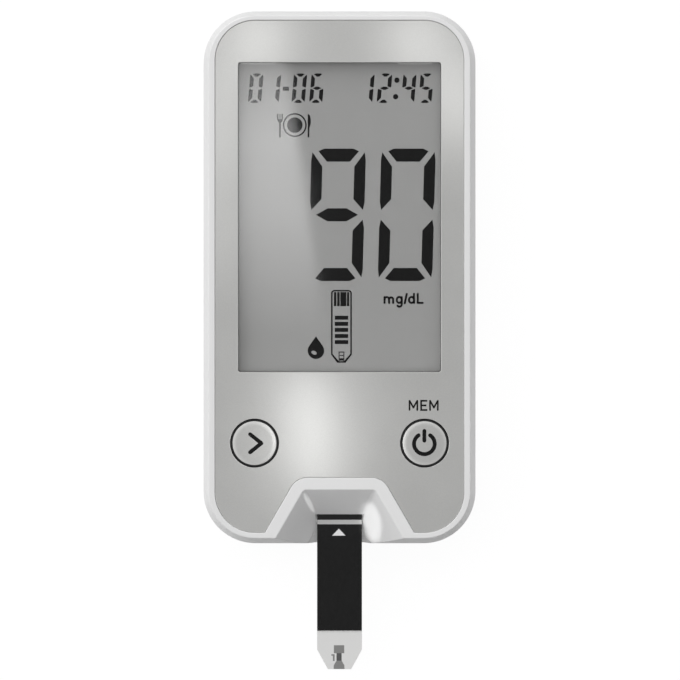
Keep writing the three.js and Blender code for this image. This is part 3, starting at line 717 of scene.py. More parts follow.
def varied(name, rgb, roughness, grain, contrast=0.02, drift=0.03, bump=0.0, ior=1.5, along=(1, 1, 1)):
    """A plastic or an ink whose tone and gloss vary with a fine grain and a slow drift.

    The grain's size and the depth of its bump are in millimetres.
    """
    material, tree, shader, where = new_material(name)
    where = add_node(tree, "ShaderNodeMapping", {"Vector": where, "Scale": along})
    fine, slow = (
        add_node(tree, "ShaderNodeTexNoise", {"Vector": where, "Scale": 1 / (size * MM), "Detail": detail})
        for size, detail in ((grain, 2.0), (15 * grain, 1.0))
    )
    light = {0: fine, 6: rgb, 7: shade(rgb, 1 + contrast)}
    light = add_node(tree, "ShaderNodeMix", light, data_type="RGBA").outputs[2]
    tone = {0: slow, 6: shade(rgb, 1 - contrast), 7: light}
    tone = add_node(tree, "ShaderNodeMix", tone, data_type="RGBA").outputs[2]
    gloss = {"Value": fine, "To Min": roughness - drift, "To Max": roughness + drift}
    gloss = add_node(tree, "ShaderNodeMapRange", gloss)
    feed(tree, shader, {"Base Color": tone, "Roughness": gloss, "IOR": ior})
    if bump:
        relief = {"Height": fine, "Distance": bump * MM, "Strength": 0.5}
        feed(tree, shader, {"Normal": add_node(tree, "ShaderNodeBump", relief)})
    return material


def metal(name, rgb, roughness, grain, contrast=0.06, along=(1, 1, 1)):
    """A metal with fine lines along its rolling direction."""
    material = varied(name, rgb, roughness, grain, contrast, 0.06, along=along)
    material.node_tree.nodes["Principled BSDF"].inputs["Metallic"].default_value = 1.0
    return material


def white_abs():
    # ABS, injection moulded with a fine spark-eroded grain: an even satin white, brighter on its small rounds
    return varied("abs_white_moulded", hue("case"), 0.42, 0.14, 0.012, 0.04, 0.004, 1.53)


def natural_abs():
    # Unpainted ABS of the inner frame, as it comes from the mould
    return varied("abs_natural_inner", linear("#d4d3cc"), 0.5, 0.2, 0.02, 0.04, 0.004, 1.53)


def black_pom():
    # Acetal: dense black with a waxy shine
    return varied("pom_black", linear("#0f0f10"), 0.36, 0.15, 0.05, 0.05, 0.003, 1.48)


def chip_epoxy():
    # Filled epoxy, transfer moulded: dull dark grey with a coarse grain
    return varied("epoxy_chip_package", linear("#1d1d1f"), 0.62, 0.09, 0.12, 0.06, 0.006, 1.55)


def zinc_steel():
    # Zinc-plated steel screws: bright and slightly blue
    return metal("steel_zinc_plated", linear("#c2c5c9"), 0.28, 0.12)


def nickel_steel():
    # Nickel-plated spring steel, rolled: pale and warm with fine lines along the strip
    return metal("spring_steel_nickel_plated", linear("#cdc9c0"), 0.26, 0.05, 0.08, (1, 0.1, 1))


def stainless_can():
    # Stainless can of a coin cell: pressed bright and dulled by handling
    return metal("stainless_pressed_can", linear("#d0d1d2"), 0.24, 0.3, 0.05, (1, 0.2, 1))


def gold_plating():
    # Gold flash on phosphor bronze contact springs
    return metal("bronze_gold_plated", linear("#e2b765"), 0.22, 0.06, 0.06, (1, 0.15, 1))


def strip_polyester():
    # White polyester sheet, laminated and punched: a smooth satin face
    return varied("polyester_white_laminated", hue("strip"), 0.4, 0.6, 0.012, 0.04, 0.0, 1.57)


def film_polyester():
    # Dark polyester cover film: satin, with a faint drift in its gloss
    return varied("polyester_dark_film", hue("film"), 0.2, 0.6, 0.06, 0.03, 0.0, 1.57)


def screen_ink():
    # Screen-printed black ink: dense, cured to a smooth shine
    return varied("ink_black_screen_print", hue("ink"), 0.2, 0.3, 0.08, 0.03)


def segment_black():
    # Liquid crystal segments: black behind a satin polariser
    return varied("lcd_segments_dark", hue("figures"), 0.15, 0.3, 0.05, 0.03)


def print_grey():
    # Grey print of the strip's sample channel: matt, slightly mottled
    return varied("ink_grey_sample_channel", hue("sample"), 0.6, 0.12, 0.06, 0.05)


def print_dark_grey():
    # The darker mark in the sample channel's neck
    return varied("ink_dark_grey_mark", linear("#555555"), 0.6, 0.12, 0.06, 0.05)


def print_white():
    # White ink of the arrow on the strip's film
    return varied("ink_white_screen_print", linear("#fafafa"), 0.5, 0.2, 0.01, 0.04)


def print_pale_grey():
    # Pale grey ink of the line across the film
    return varied("ink_pale_grey_screen_print", linear("#cbcbca"), 0.5, 0.2, 0.02, 0.04)


def gasket_foam_and_edge_shade():
    # Black polyurethane foam tape between the display and the case: dull, with an open grain. Where it shows
    # at the window's edge, it is partly painted shade
    return varied("polyurethane_foam_black", linear("#141414"), 0.9, 0.12, 0.2, 0.05, 0.02)


def carbon_ink():
    # Carbon electrode tracks on the strip's inner end: dull black-grey
    return varied("ink_carbon_tracks", linear("#2c2c2d"), 0.55, 0.1, 0.1, 0.05)


def display_polariser():
    # Polariser film on a reflective liquid crystal cell: flat neutral grey with a faint pearl grain
    return varied("lcd_reflective_polariser", hue("display"), 0.4, 0.25, 0.015, 0.03)


def reflector_film():
    # Silver reflector behind the cell
    return metal("lcd_reflector_film", linear("#a7aaa8"), 0.45, 0.3, 0.04)


def silver_lacquer():
    # Silver lacquer sprayed on plastic: aluminium flakes in a satin coat. The tone follows the light, and
    # close up the flakes show as a fine shimmer; they are drawn about three times as large as real ones
    material, tree, shader, where = new_material("lacquer_silver_sprayed")
    rgb = hue("plate")
    flakes = add_node(tree, "ShaderNodeTexVoronoi", {"Vector": where, "Scale": 1 / (0.09 * MM)})
    sparkle = add_node(tree, "ShaderNodeSeparateColor", {"Color": flakes.outputs["Color"]})
    tone = {0: sparkle, 6: shade(rgb, 0.97), 7: shade(rgb, 1.03)}
    tone = add_node(tree, "ShaderNodeMix", tone, data_type="RGBA").outputs[2]
    slow = add_node(tree, "ShaderNodeTexNoise", {"Vector": where, "Scale": 1 / (6.0 * MM), "Detail": 1.0})
    gloss = add_node(tree, "ShaderNodeMapRange", {"Value": slow, "To Min": 0.31, "To Max": 0.34})
    relief = {"Height": sparkle, "Distance": 0.0004 * MM, "Strength": 0.3}
    relief = add_node(tree, "ShaderNodeBump", relief)
    feed(tree, shader, {"Base Color": tone, "Metallic": 1.0, "Roughness": gloss, "Normal": relief})
    return material


def clear_acrylic():
    # PMMA, moulded and polished: clear, with a hard mirror shine on its face
    material, tree, shader, where = new_material("pmma_clear_polished")
    index = 1.49
    haze = add_node(tree, "ShaderNodeTexNoise", {"Vector": where, "Scale": 1 / (8.0 * MM), "Detail": 1.0})
    gloss = add_node(tree, "ShaderNodeMapRange", {"Value": haze, "To Min": 0.0, "To Max": 0.03})
    feed(tree, shader, {"Base Color": linear("#ffffff"), "Metallic": 1.0, "Roughness": gloss})
    clear = add_node(tree, "ShaderNodeBsdfTransparent", {"Color": linear("#fcfcfc")})
    # The light goes straight through, so the index is turned round for the face where it leaves
    inner = add_node(tree, "ShaderNodeNewGeometry").outputs["Backfacing"]
    entering = add_node(tree, "ShaderNodeMapRange", {"Value": inner, "To Min": index, "To Max": 1 / index})
    mirrored = add_node(tree, "ShaderNodeFresnel", {"IOR": entering})
    pane = add_node(tree, "ShaderNodeMixShader", {0: mirrored, 1: clear, 2: shader})
    feed(tree, tree.nodes["Material Output"], {"Surface": pane})
    return material


def circuit_board():
    # FR-4 laminate under green solder mask, with copper tracks that show as paler lines
    material, tree, shader, where = new_material("fr4_green_solder_mask")
    pitch = 1.27 * MM
    tracks = add_node(
        tree,
        "ShaderNodeTexBrick",
        {
            "Vector": where,
            "Scale": 1.0,
            "Mortar Size": 0.12 * MM,
            "Mortar Smooth": 0.2,
            "Brick Width": 5 * pitch,
            "Row Height": pitch,
            "Color1": linear("#0e4a25"),
            "Color2": linear("#105029"),
            "Mortar": linear("#2c8048"),
        },
    )
    relief = {"Height": tracks.outputs["Fac"], "Distance": 0.03 * MM, "Strength": 0.5}
    relief = add_node(tree, "ShaderNodeBump", relief)
    feed(tree, shader, {"Base Color": tracks.outputs["Color"], "Roughness": 0.35, "Normal": relief})
    return material


def zebra_silicone():
    # Silicone connector: carbon-filled and clear layers, drawn about ten times as thick as real ones
    material, tree, shader, where = new_material("silicone_zebra_strip")
    bands = add_node(
        tree,
        "ShaderNodeTexWave",
        {"Vector": where, "Scale": 1 / (0.5 * MM) / math.tau},
        bands_direction="X",
    )
    tone = {0: bands.outputs["Fac"], 6: linear("#1a1a1a"), 7: linear("#8f8d88")}
    tone = add_node(tree, "ShaderNodeMix", tone, data_type="RGBA").outputs[2]
    feed(tree, shader, {"Base Color": tone, "Roughness": 0.55, "IOR": 1.41})
    return material


made_materials = {}


def finish_of(maker):
    """Each material is made once."""
    if maker not in made_materials:
        made_materials[maker] = maker()
    return made_materials[maker]


# The case's outlines
def case_ring(inset, z):
    corner = sizes("case").corner
    return at_height(rounded(grown((case_left, case_right, case_low, case_high), -inset), corner - inset), z)


def mouth_outline(z, grow, radius, steps):
    """The funnel's mouth at a height, its edges moved out by grow, open past the case's lower end."""
    port = sizes("port")
    tan, sin = math.tan(port.side_lean), math.sin(port.side_lean)
    depth_all = case_top - port.slot_top
    upper_fall = port.mouth_top - port.lip_rise
    side_fall = (port.mouth_half + upper_fall / tan - port.slot_width / 2) * sin
    depth = case_top - z
    fall = depth * upper_fall / depth_all
    top_y = case_low + port.mouth_top - fall + grow
    side = depth * side_fall / depth_all / sin
    top_half = port.mouth_half + fall / tan - side + grow * math.tan(port.side_lean / 2)
    bottom_y = case_low - OVERRUN
    bottom_half = top_half + (top_y - bottom_y) / tan
    centre_x = top_half - radius * math.tan(port.side_lean / 2)
    right = arc(centre_x, top_y - radius, radius, 90 - math.degrees(port.side_lean), 90, steps)
    left = [(-x, y) for x, y in reversed(right)]
    return [(bottom_half, bottom_y), *right, *left, (-bottom_half, bottom_y)]


def mouth_ring(z, grow):
    return at_height(mouth_outline(z, grow, sizes("port").mouth_radius + grow, 6), z)


def funnel_cutter():
    return loft([mouth_ring(z, 0) for z in (sizes("port").sill, case_top + OVERRUN)])


def funnel_wall(bottom, top):
    """The wall behind the funnel's faces, parallel to them."""
    return loft([mouth_ring(z, sizes("port").wall) for z in (bottom, top)])


def notch(grow):
    port = sizes("port")
    return mouth_outline(case_top, port.ridge + grow, port.notch_radius + grow, FINE_STEPS)


def slot_cutter():
    """The strip's slot, with a small flare at its lip."""
    port = sizes("port")
    half, top, lead = port.slot_width / 2, port.slot_top, port.slot_lead
    bottom = top - port.slot_height
    slot = block((-half, half, case_low - OVERRUN, box_mm("strip_connector")[2]), bottom, top)
    mouth = case_low + port.lip_rise

    def ring(y, by):
        return [
            (half + by, y, bottom - by),
            (-half - by, y, bottom - by),
            (-half - by, y, top + by),
            (half + by, y, top + by),
        ]

    return join(slot, loft([ring(mouth - 2 * lead, 3 * lead), ring(mouth + lead, 0)]))


def window_area():
    """The opening for the display, inside the pane's flange."""
    return grown(pane_box[:4], -sizes("plate").flange)


def middle(node):
    left, right, low, high = box_mm(node)[:4]
    return (left + right) / 2, (low + high) / 2


def key_places():
    return {name: middle(f"key_{name}_cap") for name in ("scroll", "power")}


def case_screws():
    return [middle(f"case_screw_{i}") for i in (1, 2, 3, 4)]


def board_screws():
    return [middle(f"board_screw_{i}") for i in (1, 2)]


def door_area():
    """The door's slab, without its hinge pins and its latch."""
    bay = sizes("bay")
    left, right, low, high = door_box[:4]
    return (left + bay.pin_long, right - bay.pin_long, low + bay.latch_length, high)


class Stage(bpy.types.Operator):
    """Lays the white table, hangs the lamps and sets the camera over the meter"""

    bl_idname = "meter.stage"
    bl_label = "Stage"
    bl_options = {"REGISTER", "UNDO"}

    def execute(self, context):
        scene = context.scene
        scene.view_settings.view_transform = "Standard"
        self.lay_table()
        self.light_studio(scene)
        self.hang_lamps(scene)
        self.hang_glare_card()
        self.set_camera(scene)
        return {"FINISHED"}

    def set_camera(self, scene):
        """A long lens straight over the meter."""
        camera = bpy.data.cameras.new("camera")
        camera.lens, camera.sensor_width = 600, 36
        camera.clip_end = 20
        eye = bpy.data.objects.new("camera", camera)
        scene.collection.objects.link(eye)
        seen_width, seen_height = 0.1148, 0.012  # m across the picture, at this height
        eye.location = (0.00008, 0.00002, seen_height + seen_width * camera.lens / camera.sensor_width)
        scene.camera = eye

    def lay_table(self):
        """A matt white table, which the camera sees as the white background with a faint shadow.

        It is open under the middle of the meter and clear from below, so that the back and the battery door
        show from there.
        """
        inset, corner, corner_steps = sizes("case").back_round + 1.5, 2.5, 4
        drop, reach = 0.00002, 120  # m under the meter, and the table's size in openings
        opening = rounded(grown((case_left, case_right, case_low, case_high), -inset), corner, corner_steps)
        count = len(opening)
        corners = [(x * size * MM, y * size * MM, -drop) for size in (1, reach) for x, y in opening]
        around = [(i, (i + 1) % count) for i in range(count)]
        table = new_object("table", corners, [(i, count + i, count + j, j) for i, j in around])
        material, tree, shader, where = new_material("table_white_matt")
        feed(tree, shader, {"Base Color": linear("#d9d9d9"), "Roughness": 0.8})
        glow = add_node(tree, "ShaderNodeEmission", {"Color": linear("#ffffff"), "Strength": 1.1})
        path = add_node(tree, "ShaderNodeLightPath").outputs
        # Mirror images show a share of the white table too, and less of it past the meter's two short sides,
        # where the photographed rim and bevel are darker
        # This fall-off is painted shade: it darkens the reflections in the rim and bevel at the meter's two
        # short sides
        y = add_node(tree, "ShaderNodeSeparateXYZ", {"Vector": where}).outputs["Y"]
        middle_y = (case_low + case_high) / 2 * MM
        off = add_node(tree, "ShaderNodeMath", {0: y, 1: middle_y}, operation="SUBTRACT")
        off = add_node(tree, "ShaderNodeMath", {0: off}, operation="ABSOLUTE")
        painted_shade_falloff = {"Value": off, "From Min": 0.04, "From Max": 0.06, "To Min": 0.48, "To Max": 0.0}
        painted_shade_falloff = add_node(tree, "ShaderNodeMapRange", painted_shade_falloff)
        mirrored = {0: path["Is Glossy Ray"], 1: path["Is Transmission Ray"]}
        mirrored = add_node(tree, "ShaderNodeMath", mirrored, operation="MAXIMUM")
        mirrored = add_node(tree, "ShaderNodeMath", {0: mirrored, 1: painted_shade_falloff}, operation="MULTIPLY")
        seen = total(tree, (path["Is Camera Ray"], 0.85))
        share = add_node(tree, "ShaderNodeMath", {0: seen, 1: mirrored}, operation="MAXIMUM")
        lit = add_node(tree, "ShaderNodeMixShader", {0: share, 1: shader, 2: glow})
        under = add_node(tree, "ShaderNodeNewGeometry").outputs["Backfacing"]
        clear = add_node(tree, "ShaderNodeBsdfTransparent")
        both = add_node(tree, "ShaderNodeMixShader", {0: under, 1: lit, 2: clear})
        feed(tree, tree.nodes["Material Output"], {"Surface": both})
        table.data.materials.append(material)

    def light_studio(self, scene):
        """A sky that is bright to the upper left, dim to the lower right and dark straight overhead."""
        world = bpy.data.worlds.new("studio")
        world.use_nodes = True
        tree = world.node_tree
        sky = tree.nodes["Background"]
        way = add_node(tree, "ShaderNodeTexCoord").outputs["Generated"]
        tilt = {0: way, 1: (-0.54, 0.52, 0.0)}
        tilt = add_node(tree, "ShaderNodeVectorMath", tilt, operation="DOT_PRODUCT").outputs["Value"]
        level = add_node(tree, "ShaderNodeMath", {0: tilt, 1: 0.86}, operation="ADD")
        axes = add_node(tree, "ShaderNodeSeparateXYZ", {"Vector": way}).outputs
        overhead = [math.cos(math.radians(angle)) for angle in (5, 13)]
        for axis, (start, end), least in (("Z", overhead, 0.08), ("Y", (-0.9, -0.3), 0.2)):
            share = {"Value": axes[axis], "From Min": start, "From Max": end, "To Min": least}
            share = add_node(tree, "ShaderNodeMapRange", share)
            level = add_node(tree, "ShaderNodeMath", {0: level, 1: share}, operation="MULTIPLY")
        # In mirror images the studio is even round the horizon, so that the silver is silver from all sides
        path = add_node(tree, "ShaderNodeLightPath").outputs
        low = {"Value": axes["Z"], "From Min": 0.94, "From Max": 0.75}
        low = add_node(tree, "ShaderNodeMapRange", low)
        mirrored = {0: low, 1: path["Is Glossy Ray"]}
        mirrored = add_node(tree, "ShaderNodeMath", mirrored, operation="MULTIPLY")
        level = add_node(tree, "ShaderNodeMix", {0: mirrored, 2: level, 3: 0.75})
        feed(tree, sky, {"Color": linear("#ffffff"), "Strength": level})
        white = add_node(tree, "ShaderNodeBackground", {"Color": linear("#ffffff"), "Strength": 1.0})
        mix = add_node(tree, "ShaderNodeMixShader", {0: path["Is Camera Ray"], 1: sky, 2: white})
        feed(tree, tree.nodes["World Output"], {"Surface": mix})
        scene.world = world

    def hang_lamps(self, scene):
        """Cards of light close over the plate, which its satin face mirrors as soft highlights.

        They hang beside the window, so that from over the meter the clear pane doesn't show them. The camera
        doesn't see them. Two narrow lamps light the faces of the strip port.
        """
        card_height, lamp_away = 0.055, 0.25  # m
        for name, x, y, turn, wide, long, radiance in (
            ("card_lower", -5.0, -15.6, 5, 4.5, 20, 2.0),
            ("card_upper_left", -13.9, 52.0, 0, 6, 9, 1.6),
            ("card_upper_right", 13.0, 52.0, 0, 6, 9, 1.4),
            ("card_left_high", -20.5, 38, 0, 4, 18, 0.95),
            ("card_left_middle", -20.5, 20, 0, 4, 18, 0.55),
            ("card_right", 20.5, 41, 0, 4, 12, 1.6),
        ):
            lamp = bpy.data.lights.new(name, "AREA")
            lamp.shape = "RECTANGLE"
            lamp.size, lamp.size_y = wide * MM, long * MM
            lamp.energy = 4 * radiance * lamp.size * lamp.size_y
            hung = bpy.data.objects.new(name, lamp)
            scene.collection.objects.link(hung)
            hung.location = (x * MM, y * MM, card_height)
            hung.rotation_euler.z = math.radians(turn)
            hung.visible_camera = False
        for name, spot, way, along, long, wide, soft, power in (
            ("lamp_port_face", (5.5, -30.8, 10), (-0.22, -0.13, 0.97), (-0.05, -1, 0), 3.9, 2.1, 0.7, 1.3),
            ("lamp_port_corner", (-5.2, -27.4, 12.2), (0.1, -0.2, 0.97), (2, -3.85, 0), 2.4, 0.45, 0.1, 0.85),
        ):
            lamp = bpy.data.lights.new(name, "SPOT")
            lamp.spot_size, lamp.spot_blend = 2 * math.atan(long * MM / lamp_away), 0.3
            lamp.shadow_soft_size = soft * MM
            lamp.energy = power
            hung = bpy.data.objects.new(name, lamp)
            scene.collection.objects.link(hung)
            back = Vector(way).normalized()
            up = (Vector(along) - back * back.dot(Vector(along))).normalized()
            hung.matrix_world = Matrix((up.cross(back), up, back)).transposed().to_4x4()
            hung.location = Vector(spot) * MM + back * lamp_away
            hung.scale = (wide / long, 1, 1)

    def hang_glare_card(self):
        """A far card over the camera, whose mirror image lies across the left of the clear pane."""
        # In metres. Its right edge moves along X by slant for each step along Y, and fades over soft
        left, edge, slant, soft = -0.056, -0.0069, -0.142, 0.003
        height, high = 3.85, 0.165
        right = edge + soft
        corners = [(left, 0), (left, high), (right + slant * high, high), (right, 0)]
        card = new_object("glare_card", at_height(corners, height), [(0, 1, 2, 3)])
        material, tree, shader, where = new_material("glare_card")
        tree.nodes.remove(shader)
        axes = add_node(tree, "ShaderNodeSeparateXYZ", {"Vector": where}).outputs
        share = add_node(tree, "ShaderNodeMapRange", {"Value": axes["Y"], "From Max": high})
        ramp = add_node(tree, "ShaderNodeValToRGB", {"Fac": share})
        stops = ramp.color_ramp.elements
        stops[0].color = linear("#000000")
        stops[1].color = shade(linear("#ffffff"), 0.35)
        for place, level in ((0.16, 0.3), (0.4, 0.8), (0.62, 1.0), (0.84, 0.53)):
            stops.new(place).color = shade(linear("#ffffff"), level)
        inside = {
            "Value": total(tree, (axes["X"], 1.0), (axes["Y"], -slant)),
            "From Min": edge + soft,
            "From Max": edge - soft,
            "To Max": 2.85,
        }
        inside = add_node(tree, "ShaderNodeMapRange", inside)
        glow = {"Color": ramp.outputs["Color"], "Strength": inside}
        feed(tree, tree.nodes["Material Output"], {"Surface": add_node(tree, "ShaderNodeEmission", glow)})
        card.data.materials.append(material)


class FrontHousing(bpy.types.Operator):
    """Models the front moulding: leaning sides, rim, plate pocket, screw bosses and the strip port"""

    bl_idname = "meter.front_housing"
    bl_label = "Front housing"
    bl_options = {"REGISTER", "UNDO"}

    def execute(self, context):
        case, plate, key, screw = sizes("case"), sizes("plate"), sizes("key"), sizes("screw")
        deck_top = plate_box[4]
        deck_bottom = deck_top - case.deck
        shell = self.outer_skin("front_housing_moulding")
        cavity = loft(
            [
                case_ring(case.wall, parting - OVERRUN),
                case_ring(case.wall, parting),
                case_ring(case.wall + case.draft / 2, deck_bottom),
            ]
        )
        rebate_top = parting + case.lip_height + case.lip_gap
        rebate = loft(
            [case_ring(case.wall - case.lip_thick - case.lip_gap, z) for z in (parting - OVERRUN, rebate_top)]
        )
        cut(shell, cavity, rebate)
        bosses = [rod(x, y, screw.boss, parting, deck_top - case.deck / 2) for x, y in case_screws()]
        join(shell, common(funnel_wall(parting, deck_top), self.outer_skin()), *bosses)
        pocket = cut(
            prism(
                rounded(grown(plate_box[:4], plate.gap), plate.corner + plate.gap),
                deck_top,
                case_top + OVERRUN,
            ),
            prism(notch(-plate.gap), deck_top - OVERRUN, case_top + 2 * OVERRUN),
        )
        window = window_area()
        seat = prism(
            rounded(grown(window, plate.flange + plate.pane_gap), plate.window_corner + plate.flange, 6),
            deck_top - plate.flange_thick,
            deck_top + OVERRUN,
        )
        hole = prism(rounded(window, plate.window_corner, 6), deck_bottom - OVERRUN, deck_top + OVERRUN)
        keys = [
            rod(x, y, key.hole + key.slip, deck_bottom - OVERRUN, deck_top + OVERRUN)
            for x, y in key_places().values()
        ]
        pilot_top = box_mm("case_screw_1")[5] + screw.pilot_spare
        pilots = [rod(x, y, screw.pilot, parting - OVERRUN, pilot_top, 24) for x, y in case_screws()]
        cut(shell, pocket, seat, hole, *keys, *pilots, funnel_cutter(), slot_cutter())
        softened(shell, case.edge, spared=self.slot_edges())
        finished(shell, "meter", finish_of(white_abs), ["front_housing"])
        return {"FINISHED"}

    def slot_edges(self):
        """The box round the strip's slot, whose flare already breaks its edges."""
        port = sizes("port")
        near = OVERRUN / 2
        half, bottom = port.slot_width / 2 + near, port.slot_top - port.slot_height - near
        return (-half, case_low, bottom), (half, box_mm("strip_connector")[2], port.slot_top + near)

    def outer_skin(self, name="skin"):
        """The side leans in with a slight swell, and turns over the rim's round edge."""
        case = sizes("case")
        slope_top = case_top - case.rim_round
        slope_low = parting + case.seam
        rings = [case_ring(case.seam, parting)]
        steps = 12
        for i in range(steps + 1):
            t = i / steps
            inset = case.draft * t - 4 * case.crown * t * (1 - t)
            rings.append(case_ring(inset, slope_low + t * (slope_top - slope_low)))
        for turn in (18, 36, 54, 72, 90):
            inset = case.draft + case.rim_round * (1 - math.cos(math.radians(turn)))
            rings.append(case_ring(inset, slope_top + case.rim_round * math.sin(math.radians(turn))))
        return loft(rings, name)


class RearHousing(bpy.types.Operator):
    """Models the rear moulding: rounded back, battery bay, screw wells, finger scoop and lip"""

    bl_idname = "meter.rear_housing"
    bl_label = "Rear housing"
    bl_options = {"REGISTER", "UNDO"}

    def execute(self, context):
        case, bay, screw, port = sizes("case"), sizes("bay"), sizes("screw"), sizes("port")
        board_seat = box_mm("main_board")[4]
        screw_seat = box_mm("case_screw_1")[4] + screw.case_head
        inner = grown(door_area(), -bay.overlap)
        rim = prism(rounded(grown(inner, bay.rim), bay.corner + bay.rim, 8), case.floor / 2, bay.rim_height)
        walls = prism(rounded(grown(inner, bay.wall), bay.corner + bay.wall, 8), case.floor / 2, board_seat)
        bosses = [rod(x, y, screw.boss, 0, parting) for x, y in case_screws()]
        posts = [rod(x, y, screw.post, case.floor / 2, board_seat) for x, y in board_screws()]
        backing = funnel_wall(port.sill - port.wall, parting)
        hollow = cut(self.cavity(), rim, walls, *bosses, *posts, backing)
        shell = join(self.outer_skin("rear_housing_moulding"), self.lip())
        cut(shell, hollow)
        bay_hole = prism(rounded(inner, bay.corner, 8), -OVERRUN, board_seat + OVERRUN)
        wells = [rod(x, y, screw.well, -OVERRUN, screw_seat) for x, y in case_screws()]
        holes = [rod(x, y, screw.hole, 0, parting + OVERRUN, 32) for x, y in case_screws()]
        post_holes = [
            rod(x, y, screw.post_hole, board_seat - screw.post_depth, board_seat + OVERRUN, 24)
            for x, y in board_screws()
        ]
        cutters = [bay_hole, self.door_pocket(), self.scoop(), *wells, *holes, *post_holes]
        cut(shell, *cutters, funnel_cutter())
        softened(shell, case.edge, spared=self.scoop_edges())
        for vertex in shell.data.vertices:
            vertex.co.z = max(vertex.co.z, 0)
        finished(shell, "meter", finish_of(white_abs), ["rear_housing"])
        return {"FINISHED"}

    def inset_at(self, z):
        """How far the rounded back edge lies inside the case's outline at a height."""
        down = (parting - z) / parting
        return sizes("case").back_round * (1 - math.sqrt(max(1 - down * down, 0)))

    def heights(self):
        steps = 14
        return [parting * (1 - math.cos(math.pi / 2 * i / steps)) for i in range(steps)]

    def outer_skin(self, name="skin"):
        case = sizes("case")
        rings = [case_ring(self.inset_at(z), z) for z in self.heights()]
        return loft([*rings, case_ring(0, parting - case.seam), case_ring(case.seam, parting)], name)

    def cavity(self):
        case = sizes("case")
        levels = [case.floor, *[z for z in self.heights() if z > case.floor]]
        rings = [case_ring(self.inset_at(z) + case.wall, z) for z in levels]
        return loft([*rings, case_ring(case.wall, parting + OVERRUN)])

    def lip(self):
        """The lip that centres the front moulding, not yet hollow, and open where the funnel stands."""
        case, port = sizes("case"), sizes("port")
        top = parting + case.lip_height
        plug = loft([case_ring(case.wall - case.lip_thick, z) for z in (parting - OVERRUN, top)])
        gap = port.mouth_half + port.mouth_top / math.tan(port.side_lean) + port.ridge
        opening = (-gap, gap, case_low, case_low + case.corner / 2)
        return cut(plug, block(opening, parting - 2 * OVERRUN, top + OVERRUN))

    def door_pocket(self):
        bay = sizes("bay")
        a = grown(door_area(), bay.door_gap)
        top = bay.door_sunk + bay.door_thick + bay.door_gap
        hinge_y = door_area()[3] - bay.door_thick / 2
        hinge_z = bay.door_sunk + bay.door_thick / 2
        half = bay.latch_width / 2 + bay.latch_gap
        reach = a[1] + bay.pin_long
        return join(
            prism(rounded(a, bay.door_corner, 8), -OVERRUN, top),
            block((a[0], a[1], hinge_y - 2 * bay.door_corner, a[3]), -OVERRUN, top),
            block(
                (-half, half, a[2] - bay.latch_length - bay.latch_gap, a[2] + OVERRUN), -OVERRUN, top
            ),
            cross_rod(hinge_y, hinge_z, bay.pin + bay.door_gap, -reach, reach),
        )

    def scoop_edges(self):
        """The box round the bowl, whose step runs out too thin to be rounded."""
        bay = sizes("bay")
        half = bay.scoop_width / 2 + 2 * OVERRUN
        y = door_area()[2] - bay.latch_length
        return (-half, y - half, -OVERRUN), (half, y + 2 * OVERRUN, bay.scoop_depth + OVERRUN)

    def scoop(self):
        """A shallow bowl under the latch for a fingertip."""
        bay = sizes("bay")
        half = bay.scoop_width / 2
        radius = half * half / (2 * bay.scoop_depth) + bay.scoop_depth / 2
        reach = half + OVERRUN
        y = door_area()[2] - bay.latch_length
        profile, steps = [(reach, -OVERRUN)], 20
        for i in range(steps):
            r = reach * (1 - i / steps)
            profile.append((r, bay.scoop_depth - radius + math.sqrt(radius * radius - r * r)))
        bowl = turned("bowl", profile, 0, y, 72)
        return common(bowl, block((-reach, reach, y - reach, y + OVERRUN), -OVERRUN, sizes("case").floor))


class BatteryDoor(bpy.types.Operator):
    """Models the battery door: a slab with a latch tongue, hinge pins and grip grooves"""

    bl_idname = "meter.battery_door"
    bl_label = "Battery door"
    bl_options = {"REGISTER", "UNDO"}

    def execute(self, context):
        bay = sizes("bay")
        a = door_area()
        bottom, top = bay.door_sunk, bay.door_sunk + bay.door_thick
        hinge_y, hinge_z = a[3] - bay.door_thick / 2, (bottom + top) / 2
        corner_steps = 8
        whole = rounded((a[0], a[1], a[2], hinge_y), bay.door_corner, corner_steps)
        low_corners = whole[len(whole) // 2 :]
        slab = prism([(a[1], hinge_y), (a[0], hinge_y), *low_corners], bottom, top, "battery_door_moulding")
        half = bay.latch_width / 2
        join(
            slab,
            cross_rod(hinge_y, hinge_z, bay.door_thick / 2, a[0], a[1]),
            cross_rod(hinge_y, hinge_z, bay.pin, a[0] - bay.pin_long, a[1] + bay.pin_long),
            block(
                (-half, half, a[2] - bay.latch_length, a[2] + bay.latch_length),
                top - bay.latch_thick,
                top,
            ),
        )
        first = a[2] + bay.grip_start
        grooves = repeated(
            "grip_grooves",
            [(0, first + i * bay.grip_pitch, bottom) for i in range(bay.grip_count)],
            groove_part,
            {"Length": bay.grip_long, "Width": bay.grip_width, "Depth": 2 * bay.grip_depth},
            finish_of(white_abs),
        )
        cut(slab, grooves)
        softened(slab, sizes("case").edge)
        finished(slab, "battery_door", finish_of(white_abs), ["battery_door"])
        return {"FINISHED"}


